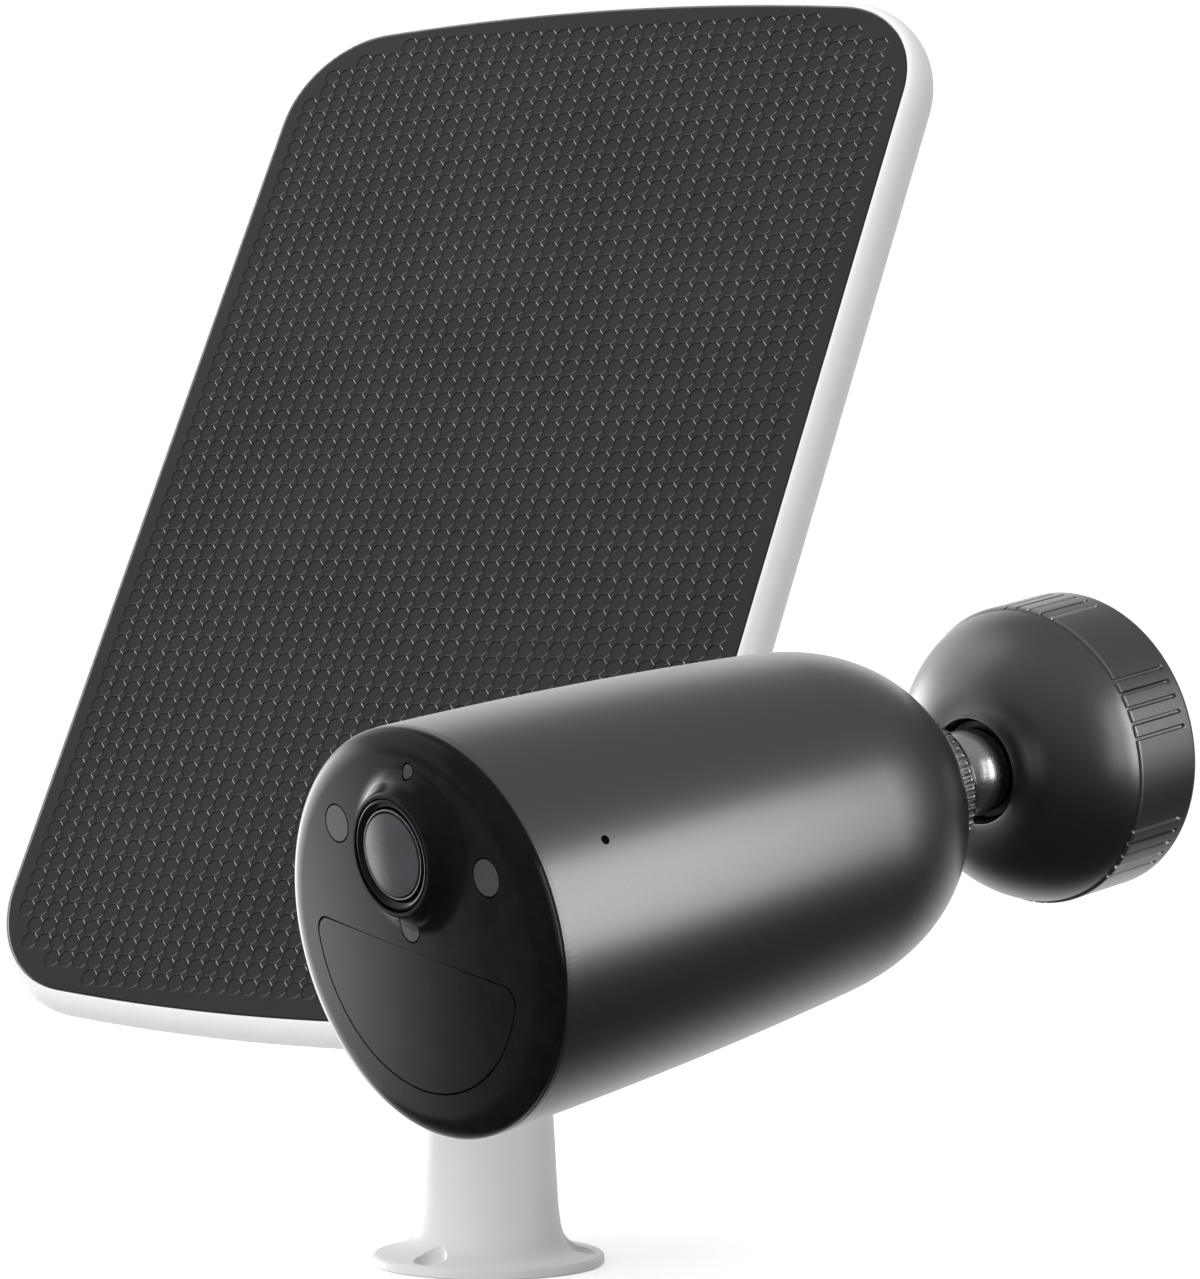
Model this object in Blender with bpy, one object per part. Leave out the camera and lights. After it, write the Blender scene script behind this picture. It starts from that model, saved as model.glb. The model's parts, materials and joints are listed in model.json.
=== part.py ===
"""Solar-powered security camera: a bullet camera on a ball mount, and its solar panel on a ball bracket.

Units are metres, +Z is up. The origin is the centre of the panel bracket's base face.
The camera looks towards -X -Y. Each unit's ball centre is the centre of its joints.
"""
import math

import bmesh
import bpy
from mathutils import Matrix, Vector

MM = 0.001
GAP = 0.3 * MM              # clearance between neighbouring pieces

# ---- where the two units stand ----
CAMERA_BALL = Vector((85.3, -171.5, 109.6)) * MM
CAMERA_YAW = -50.66         # degrees about Z, from +Y to the tail direction
CAMERA_PITCH = 10.37        # the camera looks down by this angle
CAMERA_ROLL = 10.4          # the camera is turned this far on its stud
MOUNT_YAW = -46.43
MOUNT_PITCH = 9.35
PANEL_BALL = Vector((0, 0, 110)) * MM
PANEL_YAW = -32.75
PANEL_TILT = 30.0           # the panel's face looks up by this angle

# ---- camera body ----
BODY_R = 33 * MM            # radius at the front rim
RIM_Y = -116.9 * MM         # front rim, measured from the ball centre along the camera's axis
TAIL_LEN = 104.9 * MM       # where the domed tail would close
DOME_START = 73.7 * MM
DOME_POWER = 2.458          # exponent of the superellipse that closes the tail
TAPER = 0.0474              # the body narrows by these linear and square terms
BOW = 0.1296
TAPER_LEN = 94.3 * MM       # counted over this length
TAIL_HOLE_R = 12.6 * MM
WALL = 2.2 * MM
LIP_WALL = 1.1 * MM         # thinner wall round the black front
FACE_RISE = 3.8 * MM        # how far the black front stands ahead of the rim
FACE_FLAT_R = 28.6 * MM

# ---- front features, in the face's own x and z ----
LENS_Z = 14.3 * MM
LENS_RING_R = 9.0 * MM
LENS_BORE_R = 7.6 * MM
BOSS_TOP = 3.7 * MM         # the boss stands this far ahead of the flat face
IR_X = 18.5 * MM
IR_Z = 14.3 * MM
IR_R = 2.9 * MM
SENSOR_Z = 27.0 * MM
SENSOR_R = 1.1 * MM
STATUS_Z = 1.7 * MM
STATUS_R = 2.2 * MM
PIR_R = 25.2 * MM
PIR_TOP = -2.0 * MM
PIR_CORNER = 2.6 * MM
MIC_S = 13.4 * MM           # microphone hole, back from the rim
MIC_ANGLE = 34.5            # degrees above the camera's right-hand side
MIC_R = 0.7 * MM

# ---- charging port under the tail ----
PORT_S = 78 * MM            # middle of the port pocket, back from the rim
PORT_Z = -28.5 * MM
PORT_HALF_L = 7.9 * MM      # half sizes of its cover
PORT_HALF_W = 11.9 * MM
TRAY_Z = -18.0 * MM
SOCKET_X = -3.5 * MM
BUTTON_X = 6.0 * MM

# ---- camera ball mount ----
BALL_R = 7.5 * MM
STUD_R = 3.0 * MM
NUT_R = 12.3 * MM
NUT_T = 4.3 * MM            # length of its knurl
NUT_FACE_R = 10.0 * MM      # the nut's ball side narrows to this radius
NUT_CONE = 2.5 * MM         # over this length
NUT_TEETH = 54
MOUNT_R = 26.0 * MM
MOUNT_BACK = -29.76 * MM    # wall plane, from the ball centre along the mount's axis
COLLAR_W = 15.15 * MM
LIP_Z = -1.0 * MM            # mouth of the socket, a little behind the ball's middle
LIP_R = 9.5 * MM
CUP_TOP = -24.0             # the cup ends this many degrees below the ball's middle
RIB_GROUPS = 6
RIBS = 5
RIB_STEP = 5.9              # degrees between the grooves of a group
RIB_FIRST = 20.0            # middle of the first group
CAP_POWER = 1.35            # exponents of the cap's dome, along the axis and across it
CAP_ROUND = 2.3
CAP_WALL = 2.0 * MM
CAP_EDGE = 0.6 * MM         # width of the rounded edge between dome and collar

# ---- solar panel ----
PANEL_W = 154.2 * MM
PANEL_H = 234.9 * MM
PANEL_CORNER = 22 * MM
PANEL_SAG = 5.2 * MM        # how far the bowed top and bottom edges fall at the corners
LAMINATE_T = 2.5 * MM
RIM_T = 10 * MM
RIM_BULGE = 2.6 * MM
PANEL_RISE = 35.8 * MM      # panel centre above the ball, along the panel
FACE_AHEAD = 34 * MM        # panel face ahead of the ball centre

# ---- panel bracket ----
PBALL_R = 9 * MM
PSTUD_R = 3.0 * MM
FLANGE_R = 23.7 * MM
FLANGE_T = 2.2 * MM
STEM_R0 = 14.45 * MM
STEM_R1 = 10.6 * MM
STEM_TOP = 92 * MM
SOCKET_R = 14.0 * MM
HOLE_CIRCLE_R = 19.3 * MM
HOLE_R = 2.2 * MM
HOLE_ANGLES = (233.4, 353.4, 113.4)

# ---- cells and charging lead ----
CELL_R = 9.2 * MM
CELL_L = 65 * MM
CABLE_R = 1.7 * MM
CABLE_X = 34 * MM           # where the lead leaves the panel's back
CABLE_Z = 62 * MM
COIL_R = 30 * MM
COIL_TURNS = 2.75
COIL_START = 27.8 * MM      # the coil's first and last layers, behind the panel's face
COIL_END = 18.2 * MM
LEAD_TAIL = 22 * MM         # straight end of the lead
PLUG_LEN = 15 * MM
PLUG_R = 4.0 * MM

COLOURS = {
    "gunmetal": ((0.075, 0.077, 0.080), 0.36, 0.75),
    "gloss_black": ((0.006, 0.006, 0.007), 0.10, 0.0),
    "matte_black": ((0.018, 0.018, 0.019), 0.55, 0.0),
    "smoked_window": ((0.060, 0.058, 0.060), 0.12, 0.0),
    "lens_glass": ((0.020, 0.022, 0.028), 0.04, 0.0),
    "chrome": ((0.62, 0.62, 0.63), 0.14, 1.0),
    "steel": ((0.42, 0.42, 0.43), 0.28, 1.0),
    "brass": ((0.70, 0.50, 0.22), 0.30, 1.0),
    "white": ((0.80, 0.80, 0.79), 0.42, 0.0),
    "white_metal": ((0.80, 0.80, 0.79), 0.46, 0.0),
    "laminate": ((0.030, 0.031, 0.033), 0.38, 0.0),
    "rubber": ((0.020, 0.020, 0.021), 0.75, 0.0),
    "nylon": ((0.030, 0.030, 0.032), 0.48, 0.0),
    "board_green": ((0.020, 0.150, 0.070), 0.45, 0.0),
    "cell_wrap": ((0.050, 0.160, 0.400), 0.35, 0.0),
    "cable": ((0.70, 0.70, 0.69), 0.55, 0.0),
}


# ---------------------------------------------------------------- scene helpers
def clear_scene():
    for item in list(bpy.data.objects):
        bpy.data.objects.remove(item, do_unlink=True)


def material(name):
    found = bpy.data.materials.get(name)
    if found:
        return found
    colour, roughness, metallic = COLOURS[name]
    made = bpy.data.materials.new(name)
    made.use_nodes = True
    shader = made.node_tree.nodes["Principled BSDF"]
    shader.inputs["Base Color"].default_value = (*colour, 1.0)
    shader.inputs["Roughness"].default_value = roughness
    shader.inputs["Metallic"].default_value = metallic
    return made


def empty(name, parent=None, place=(0, 0, 0), turn=None):
    made = bpy.data.objects.new(name, None)
    bpy.context.scene.collection.objects.link(made)
    made.parent = parent
    made.location = place
    if turn is not None:
        made.rotation_euler = turn.to_euler()
    return made


def finish(name, bm, finish_name, parent, place=(0, 0, 0), turn=None, angle=35):
    """Turns a bmesh into a named, smooth-shaded object under its parent."""
    bmesh.ops.remove_doubles(bm, verts=bm.verts, dist=1e-7)
    bmesh.ops.recalc_face_normals(bm, faces=bm.faces)
    mesh = bpy.data.meshes.new(name)
    bm.to_mesh(mesh)
    bm.free()
    mesh.shade_smooth()
    mesh.set_sharp_from_angle(angle=math.radians(angle))
    made = bpy.data.objects.new(name, mesh)
    bpy.context.scene.collection.objects.link(made)
    if finish_name:
        mesh.materials.append(material(finish_name))
    made.parent = parent
    made.location = place
    if turn is not None:
        made.rotation_euler = turn.to_euler()
    return made


def guide(made):
    """Marks an object as a cutter that isn't part of the model."""
    made.hide_render = True
    made.display_type = "WIRE"
    return made


def boolean(target, tool, operation="DIFFERENCE"):
    cut = target.modifiers.new("cut", "BOOLEAN")
    cut.operation = operation
    cut.solver = "EXACT"
    cut.object = tool
    return cut


# ---------------------------------------------------------------- shape helpers
def spin_profile(points, steps):
    """Spins a closed (radius, height) outline about Z. Points on the axis close the shape there."""
    bm = bmesh.new()
    verts = [bm.verts.new((r, 0, z)) for r, z in points]
    pairs = list(zip(verts, verts[1:]))
    if points[0][0] > 0 or points[-1][0] > 0:
        pairs.append((verts[-1], verts[0]))
    edges = [bm.edges.new(pair) for pair in pairs]
    bmesh.ops.spin(bm, geom=verts + edges, cent=(0, 0, 0), axis=(0, 0, 1), angle=2 * math.pi, steps=steps)
    bmesh.ops.remove_doubles(bm, verts=bm.verts, dist=1e-7)
    bmesh.ops.dissolve_degenerate(bm, edges=bm.edges, dist=1e-8)
    bmesh.ops.dissolve_limit(bm, angle_limit=math.radians(0.5), verts=bm.verts, edges=bm.edges)
    return bm


def turned(name, points, finish_name, parent, steps=24, place=(0, 0, 0), turn=None, angle=35):
    return finish(name, spin_profile(points, steps), finish_name, parent, place, turn, angle)


def loft(rings, closed=False):
    """Bridges rings of points; the ends are capped unless the rings close on themselves."""
    bm = bmesh.new()
    loops = [[bm.verts.new(point) for point in ring] for ring in rings]
    pairs = list(zip(loops, loops[1:]))
    if closed:
        pairs.append((loops[-1], loops[0]))
    for low, high in pairs:
        for i in range(len(low)):
            j = (i + 1) % len(low)
            bm.faces.new((low[i], low[j], high[j], high[i]))
    if not closed:
        bm.faces.new(reversed(loops[0]))
        bm.faces.new(loops[-1])
    return bm


def box(name, size, finish_name, parent, place=(0, 0, 0), round_by=0.0, turn=None):
    bm = bmesh.new()
    bmesh.ops.create_cube(bm, size=1.0)
    bmesh.ops.scale(bm, verts=bm.verts, vec=size)
    if round_by:
        bmesh.ops.bevel(bm, geom=bm.edges[:], offset=round_by, segments=2, affect="EDGES", profile=0.5)
    return finish(name, bm, finish_name, parent, place, turn)


def arc(centre, radius, start, end, count):
    """Points of an arc, angles in degrees, both ends included."""
    angles = [math.radians(start + (end - start) * i / (count - 1)) for i in range(count)]
    return [(centre[0] + radius * math.cos(a), centre[1] + radius * math.sin(a)) for a in angles]


def disc_profile(radius, low, high, chamfer=0.0):
    return [(0, low), (radius - chamfer, low), (radius, low + chamfer), (radius, high - chamfer),
            (radius - chamfer, high), (0, high)]


def ring_profile(inner, outer, low, high):
    return [(inner, low), (outer, low), (outer, high), (inner, high)]


TO_MINUS_Y = Matrix.Rotation(math.radians(90), 3, "X")     # turns a shape's +Z to -Y


# ---------------------------------------------------------------- camera body
def body_radius(s):
    """Outer radius of the bullet shell, s back from the front rim."""
    x = s / TAPER_LEN
    base = BODY_R * (1 - TAPER * x - BOW * x * x)
    if s <= DOME_START:
        return base
    t = min((s - DOME_START) / (TAIL_LEN - DOME_START), 1.0)
    return base * (1 - t ** DOME_POWER) ** (1 / DOME_POWER)


def tail_end():
    """Distance from the rim at which the shell has closed to its tail opening."""
    low, high = DOME_START, TAIL_LEN
    for _ in range(40):
        middle = (low + high) / 2
        if body_radius(middle) > TAIL_HOLE_R + 0.8 * MM:
            low = middle
        else:
            high = middle
    return low


def shell_stations():
    straight = [DOME_START * i / 3 for i in range(4)]
    end = tail_end()
    curve = [DOME_START + (end - DOME_START) * math.sin(math.radians(11.25 * i)) for i in range(1, 9)]
    return straight + curve


def camera_shell(parent):
    stations = shell_stations()
    end = stations[-1]
    outer = [(body_radius(s), -s) for s in stations]
    outer[0] = (BODY_R, -0.4 * MM)
    inner_stations = [s for s in stations if s < end - 2 * WALL][::2]
    inner = [(max(body_radius(s + 0.6 * MM) - WALL, TAIL_HOLE_R + 0.8 * MM), -s) for s in inner_stations]
    inner[0] = (BODY_R - WALL, -6.0 * MM)
    lip = [(BODY_R - LIP_WALL, -6.0 * MM), (BODY_R - LIP_WALL, 0), (BODY_R - 0.4 * MM, 0)]
    hole = [(TAIL_HOLE_R, -end), (TAIL_HOLE_R, -end + 1.2 * WALL)]
    points = lip + outer + hole + list(reversed(inner))
    shell = turned("camera_shell", points, "gunmetal", parent, 44, (0, RIM_Y, 0), TO_MINUS_Y)
    pocket = box("cut_port_pocket", (25 * MM, 17 * MM, 15 * MM), None, parent,
                 (0, RIM_Y + PORT_S, PORT_Z), 0)
    boolean(shell, guide(pocket))
    angle = math.radians(MIC_ANGLE)
    reach = BODY_R - WALL / 2
    mic = turned("cut_mic", disc_profile(MIC_R, -4 * MM, 4 * MM), None, parent, 12,
                 (reach * math.cos(angle), RIM_Y + MIC_S, reach * math.sin(angle)),
                 Matrix.Rotation(math.radians(90) - angle, 3, "Y"))
    boolean(shell, guide(mic))
    return shell


def pir_outline(shrink=0.0):
    """Segment of a disc with a straight top and rounded corners, as (x, z) points."""
    radius = PIR_R - shrink
    top = PIR_TOP - shrink
    corner = PIR_CORNER - shrink * 0.5
    cz = top - corner
    cx = math.sqrt((radius - corner) ** 2 - cz ** 2)
    tangent = math.degrees(math.atan2(cz, cx))
    right = arc((cx, cz), corner, 90, tangent, 6)
    sweep = arc((0, 0), radius, tangent, -180 - tangent, 27)[1:-1]
    left = arc((-cx, cz), corner, 180 - tangent, 90, 6)
    return right + sweep + left


def prism(outline, low, high):
    """Prism of an (x, z) outline between two y values."""
    return loft([[(x, low, z) for x, z in outline], [(x, high, z) for x, z in outline]])


def face_profile():
    """Half-section of the front cover, +Z forward from the rim plane."""
    edge = FACE_RISE - GAP - 0.2 * MM
    outer = BODY_R - 0.1 * MM
    skirt = BODY_R - LIP_WALL - GAP
    rounding = [(FACE_FLAT_R + (outer - FACE_FLAT_R) * math.sin(math.radians(a)),
                 FACE_RISE - edge + edge * math.cos(math.radians(a))) for a in range(18, 91, 18)]
    return ([(0, FACE_RISE), (FACE_FLAT_R, FACE_RISE)] + rounding
            + [(outer, GAP), (skirt, GAP), (skirt, -3.0 * MM), (BODY_R - 4.0 * MM, -3.0 * MM),
               (BODY_R - 4.0 * MM, 0.6 * MM), (0, 0.6 * MM)])


def front_cover(parent, frame_y):
    cover = turned("front_cover", face_profile(), "gloss_black", parent, 44, frame_y, TO_MINUS_Y, 50)
    cuts = []
    top = FACE_RISE + BOSS_TOP
    boss_points = [(0, -1.5 * MM), (12.4 * MM, -1.5 * MM), (12.4 * MM, FACE_RISE - 0.1 * MM),
                   (11.3 * MM, FACE_RISE + 0.8 * MM), (10.4 * MM, top - 0.9 * MM), (9.8 * MM, top - 0.2 * MM),
                   (LENS_RING_R + 0.3 * MM, top), (0, top)]
    lens_place = (0, frame_y[1], LENS_Z)
    boss = turned("form_lens_boss", boss_points, None, parent, 24, lens_place, TO_MINUS_Y)
    boolean(cover, guide(boss), "UNION")
    bore = turned("cut_lens_bore", disc_profile(LENS_RING_R, -2 * MM, 12 * MM), None, parent, 24,
                  lens_place, TO_MINUS_Y)
    cuts.append(bore)
    for label, x, z, radius in (("ir_left", -IR_X, IR_Z, IR_R), ("ir_right", IR_X, IR_Z, IR_R),
                                ("light", 0, SENSOR_Z, SENSOR_R), ("status", 0, STATUS_Z, STATUS_R)):
        cuts.append(turned("cut_" + label, disc_profile(radius + GAP, -2 * MM, 12 * MM), None, parent, 20,
                           (x, frame_y[1], z), TO_MINUS_Y))
    cuts.append(finish("cut_pir", prism(pir_outline(), -12 * MM, 2 * MM), None, parent, frame_y))
    for tool in cuts:
        boolean(cover, guide(tool))
    return cover


def window(name, radius, x, z, top, parent, frame_y, thickness=2.4 * MM, finish_name="smoked_window"):
    points = disc_profile(radius, top - thickness, top, 0.25 * MM)
    return turned(name, points, finish_name, parent, 20, (x, frame_y[1], z), TO_MINUS_Y)


def pir_window(parent, frame_y):
    outline = pir_outline(GAP)
    bm = prism(outline, -FACE_RISE, -FACE_RISE + 2.2 * MM)
    return finish("pir_window", bm, "gloss_black", parent, frame_y)


def lens_parts(parent, frame_y):
    top = FACE_RISE + BOSS_TOP
    place = (0, frame_y[1], LENS_Z)
    outer = LENS_RING_R - GAP
    ring = [(LENS_BORE_R, top - 7.0 * MM), (outer, top - 7.0 * MM), (outer, top - 0.3 * MM),
            (outer - 0.4 * MM, top + 0.1 * MM), (LENS_BORE_R + 0.5 * MM, top - 0.5 * MM),
            (LENS_BORE_R, top - 0.9 * MM)]
    turned("lens_ring", ring, "matte_black", parent, 30, place, TO_MINUS_Y)
    barrel_r = LENS_BORE_R - GAP
    glass_r = 5.8 * MM
    barrel = [(glass_r - 1.4 * MM, top - 16 * MM), (barrel_r, top - 16 * MM), (barrel_r, top - 0.9 * MM),
              (barrel_r - 0.5 * MM, top - 0.6 * MM), (glass_r + GAP, top - 1.2 * MM),
              (glass_r + GAP, top - 3.6 * MM), (glass_r - 1.4 * MM, top - 3.6 * MM)]
    turned("lens_barrel", barrel, "matte_black", parent, 24, place, TO_MINUS_Y)
    crown = top + 0.5 * MM
    curve = 10.6 * MM
    dome = arc((0, crown - curve), curve, 90, 90 - math.degrees(math.asin(glass_r / curve)), 5)
    glass = [(0, top - 3.3 * MM), (glass_r, top - 3.3 * MM)] + list(reversed(dome))
    glass[-1] = (0, crown)
    turned("lens_glass", glass, "lens_glass", parent, 24, place, TO_MINUS_Y)
    box("image_sensor_board", (16 * MM, 1.2 * MM, 16 * MM), "board_green", parent,
        (0, RIM_Y + 9.6 * MM, LENS_Z - 1.5 * MM))


def camera_inside(parent):
    frame_y = (0, RIM_Y, 0)
    turned("face_seal", [(28.9 * MM + 1.0 * MM * math.cos(a), -4.6 * MM + 1.0 * MM * math.sin(a))
                         for a in [math.radians(60 * i) for i in range(6)]],
           "rubber", parent, 28, frame_y, TO_MINUS_Y)
    for side, x in (("left", -IR_X), ("right", IR_X)):
        turned("ir_led_" + side, disc_profile(2.2 * MM, -3.5 * MM, 0.0, 0.4 * MM), "lens_glass", parent, 24,
               (x, RIM_Y, IR_Z), TO_MINUS_Y)
    box("ir_board", (46 * MM, 1.2 * MM, 8 * MM), "board_green", parent, (0, RIM_Y + 12.5 * MM, -14 * MM))
    turned("pir_sensor", disc_profile(4.6 * MM, -11 * MM, -6.5 * MM, 0.4 * MM), "steel", parent, 24,
           (0, RIM_Y, -14 * MM), TO_MINUS_Y)
    box("main_board", (42 * MM, 62 * MM, 1.4 * MM), "board_green", parent, (0, RIM_Y + 52 * MM, 11.5 * MM))
    for side, x in (("left", -10 * MM), ("right", 10 * MM)):
        turned("battery_cell_" + side, disc_profile(CELL_R, -CELL_L / 2, CELL_L / 2, 0.5 * MM), "cell_wrap",
               parent, 20, (x, RIM_Y + 50 * MM, 0), TO_MINUS_Y)
    box("battery_cradle", (36 * MM, 62 * MM, 6 * MM), "matte_black", parent, (0, RIM_Y + 49 * MM, -10 * MM))
    cradle = bpy.data.objects["battery_cradle"]
    for side, x in (("left", -10 * MM), ("right", 10 * MM)):
        tool = turned("cut_cell_" + side, disc_profile(CELL_R + GAP, -40 * MM, 40 * MM), None, parent, 20,
                      (x, RIM_Y + 50 * MM, 0), TO_MINUS_Y)
        boolean(cradle, guide(tool))
    turned("speaker", disc_profile(9 * MM, 0, 4.5 * MM, 0.5 * MM), "matte_black", parent, 24,
           (0, RIM_Y + 38 * MM, -21 * MM))
    box("wifi_antenna", (14 * MM, 26 * MM, 0.8 * MM), "steel", parent, (0, RIM_Y + 48 * MM, 22 * MM))


def camera_tail(parent):
    back = tail_end()
    radius = TAIL_HOLE_R - GAP
    bore = STUD_R + 1.6 * MM
    points = ring_profile(bore, radius, -back + 0.2 * MM, -back + 14 * MM)
    turned("tail_plug", points, "matte_black", parent, 24, (0, RIM_Y, 0), TO_MINUS_Y)
    bush = ring_profile(STUD_R + GAP, bore - GAP, -back + 0.2 * MM, -back + 12 * MM)
    turned("threaded_bush", bush, "brass", parent, 20, (0, RIM_Y, 0), TO_MINUS_Y)


def port_parts(parent):
    """USB socket and button in a tray under the tail, behind a hinged rubber cover."""
    y = RIM_Y + PORT_S
    tray = box("port_tray", (24.0 * MM, 15.6 * MM, 7.0 * MM), "matte_black", parent, (0, y, TRAY_Z))
    recess = box("cut_tray", (20.4 * MM, 12.4 * MM, 5.0 * MM), None, parent, (0, y, TRAY_Z - 4.2 * MM))
    socket_hole = box("cut_socket", (9.8 * MM, 4.0 * MM, 20 * MM), None, parent, (SOCKET_X, y, TRAY_Z))
    button_hole = turned("cut_button", disc_profile(1.9 * MM, -10 * MM, 10 * MM), None, parent, 20,
                         (BUTTON_X, y, TRAY_Z))
    for tool in (recess, socket_hole, button_hole):
        boolean(tray, guide(tool))
    socket = box("usb_socket", (9.2 * MM, 3.4 * MM, 6.4 * MM), "steel", parent, (SOCKET_X, y, TRAY_Z + 0.8 * MM))
    slot = box("cut_usb_slot", (8.0 * MM, 2.2 * MM, 5.0 * MM), None, parent, (SOCKET_X, y, TRAY_Z - 1.4 * MM))
    boolean(socket, guide(slot))
    return y


def port_cover(parent, y):
    """Rubber cover that fills the pocket's mouth, hinged along its front edge."""
    bm = bmesh.new()
    depth_s = (PORT_S - PORT_HALF_L, PORT_S, PORT_S + PORT_HALF_L)
    rows = []
    for s in depth_s:
        radius = body_radius(s)
        for level in (radius, radius - 1.6 * MM):
            rows.append([(x, s - PORT_S + PORT_HALF_L, -math.sqrt(radius ** 2 - x ** 2) + (radius - level))
                         for x in [PORT_HALF_W * (i / 5 - 1) for i in range(11)]])
    grid = [[bm.verts.new((p[0], p[1], p[2])) for p in row] for row in rows]
    for a, b in ((0, 2), (2, 4), (3, 1), (5, 3), (1, 0), (4, 5)):
        for i in range(10):
            bm.faces.new((grid[a][i], grid[a][i + 1], grid[b][i + 1], grid[b][i]))
    for i in (0, 10):
        bm.faces.new((grid[0][i], grid[2][i], grid[3][i], grid[1][i]))
        bm.faces.new((grid[2][i], grid[4][i], grid[5][i], grid[3][i]))
    hinge_z = -body_radius(PORT_S - PORT_HALF_L)
    bmesh.ops.translate(bm, verts=bm.verts, vec=(0, 0, -hinge_z))
    return finish("port_cover", bm, "rubber", parent, (0, RIM_Y + PORT_S - PORT_HALF_L, hinge_z))


def reset_button(parent, y):
    points = [(0, 0), (1.2 * MM, 0), (1.5 * MM, 0.3 * MM), (1.5 * MM, 2.6 * MM), (0, 2.6 * MM)]
    return turned("reset_button", points, "rubber", parent, 20, (BUTTON_X, y, TRAY_Z - 2.6 * MM))


# ---------------------------------------------------------------- camera ball joint
def ball_stud(parent):
    """Ball, neck and threaded stud; local -Z points along the stud to the camera."""
    start = math.degrees(math.asin(STUD_R / BALL_R))
    ball = arc((0, 0), BALL_R, -90 + start, 90, 11)
    ball[-1] = (0, BALL_R)
    length = 22.5 * MM
    points = [(0, -length), (STUD_R - 0.5 * MM, -length), (STUD_R, -length + 0.5 * MM)] + ball
    return turned("ball_stud", points, "chrome", parent, 20, (0, 0, 0), TO_MINUS_Y.inverted())


def lock_nut(parent):
    """Knurled nut against the tail, narrowing towards the ball."""
    rings = []
    low = RIM_Y + tail_end() + GAP
    high = low + NUT_T
    face = high + NUT_CONE
    count = NUT_TEETH * 2
    bore = STUD_R + GAP

    def ring(radius, y, tooth=0.0):
        points = []
        for i in range(count):
            a = 2 * math.pi * i / count
            r = radius - (tooth if i % 2 else 0.0)
            points.append((r * math.cos(a), y, r * math.sin(a)))
        return points

    rings.append(ring(bore, low))
    rings.append(ring(NUT_R, low, 0.5 * MM))
    rings.append(ring(NUT_R, high, 0.5 * MM))
    rings.append(ring(NUT_FACE_R, face))
    rings.append(ring(NUT_FACE_R - 1.0 * MM, face))
    rings.append(ring(bore, high + GAP))
    return finish("lock_nut", loft(rings, closed=True), "steel", parent, (0, 0, 0))


def ball_liner(parent):
    """Cup that the ball turns in; +Z points out of the wall."""
    cup = arc((0, 0), BALL_R + GAP, -50, CUP_TOP, 5)
    top = cup[-1][1]
    points = [(8.5 * MM, top), (8.5 * MM, -4.3 * MM), (10.8 * MM, -4.95 * MM), (10.8 * MM, -6.3 * MM),
              (cup[0][0], -6.3 * MM)] + cup
    return turned("ball_liner", points, "nylon", parent, 28)


def mount_profile():
    """Outer side of the clamp cap from the lip down to the wall."""
    shoulder = MOUNT_R - CAP_EDGE
    seam = MOUNT_BACK + COLLAR_W
    length = LIP_Z - seam
    points = []
    for i in range(9):
        t = math.sin(math.radians(90 - 11.25 * i))
        r = LIP_R + (shoulder - LIP_R) * (1 - t ** CAP_POWER) ** (1 / CAP_ROUND)
        points.append((r, seam + length * t))
    return points + [(MOUNT_R - CAP_EDGE / 3, seam - CAP_EDGE / 4), (MOUNT_R, seam - CAP_EDGE),
                     (MOUNT_R, MOUNT_BACK + 0.5 * MM)]


def mount_cap(parent):
    inside_r = MOUNT_R - CAP_WALL
    outer = mount_profile()
    inner = [(inside_r, MOUNT_BACK + 0.5 * MM), (inside_r, MOUNT_BACK + COLLAR_W - 1.5 * MM),
             (19.5 * MM, -9.5 * MM), (13.4 * MM, -6.5 * MM), (11.1 * MM, -6.5 * MM), (11.1 * MM, -4.6 * MM),
             (8.8 * MM, -3.95 * MM), (8.8 * MM, -2.3 * MM), (9.2 * MM, LIP_Z - 0.2 * MM)]
    cap = turned("mount_cap", outer + inner, "gunmetal", parent, 44)
    groove = bmesh.new()
    for group in range(RIB_GROUPS):
        for rib in range(RIBS):
            angle = math.radians(RIB_FIRST + 60 * group + RIB_STEP * (rib - (RIBS - 1) / 2))
            add_groove(groove, angle)
    tool = finish("cut_grip_grooves", groove, None, parent)
    boolean(cap, guide(tool))
    return cap


def add_groove(bm, angle):
    """One axial groove cutter standing on the collar, as a box across the rim."""
    low = MOUNT_BACK + 3.2 * MM
    high = MOUNT_BACK + COLLAR_W + 1.0 * MM
    turn = Matrix.Rotation(angle, 4, "Z")
    size = Matrix.Diagonal((1.6 * MM, 0.75 * MM, high - low, 1))
    place = Matrix.Translation((MOUNT_R + 0.35 * MM, 0, (low + high) / 2))
    bmesh.ops.create_cube(bm, size=1.0, matrix=turn @ place @ size)


def mount_base(parent):
    floor = MOUNT_BACK + 3.5 * MM
    wall_in = 20.5 * MM
    wall_out = MOUNT_R - CAP_WALL - GAP
    post = 10.8 * MM
    points = [(0, -8.3 * MM), (6.0 * MM, -8.3 * MM), (7.5 * MM, -6.6 * MM), (post, -6.6 * MM), (post, floor),
              (wall_in, floor), (wall_in, -17.5 * MM), (wall_out, -17.5 * MM), (wall_out, MOUNT_BACK),
              (0, MOUNT_BACK)]
    base = turned("mount_base", points, "matte_black", parent, 32)
    for i in range(3):
        a = math.radians(90 + 120 * i)
        tool = turned("cut_base_hole_%d" % i, disc_profile(2.1 * MM, -36 * MM, -20 * MM), None, parent, 20,
                      (15.6 * MM * math.cos(a), 15.6 * MM * math.sin(a), 0))
        boolean(base, guide(tool))
    return base


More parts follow.
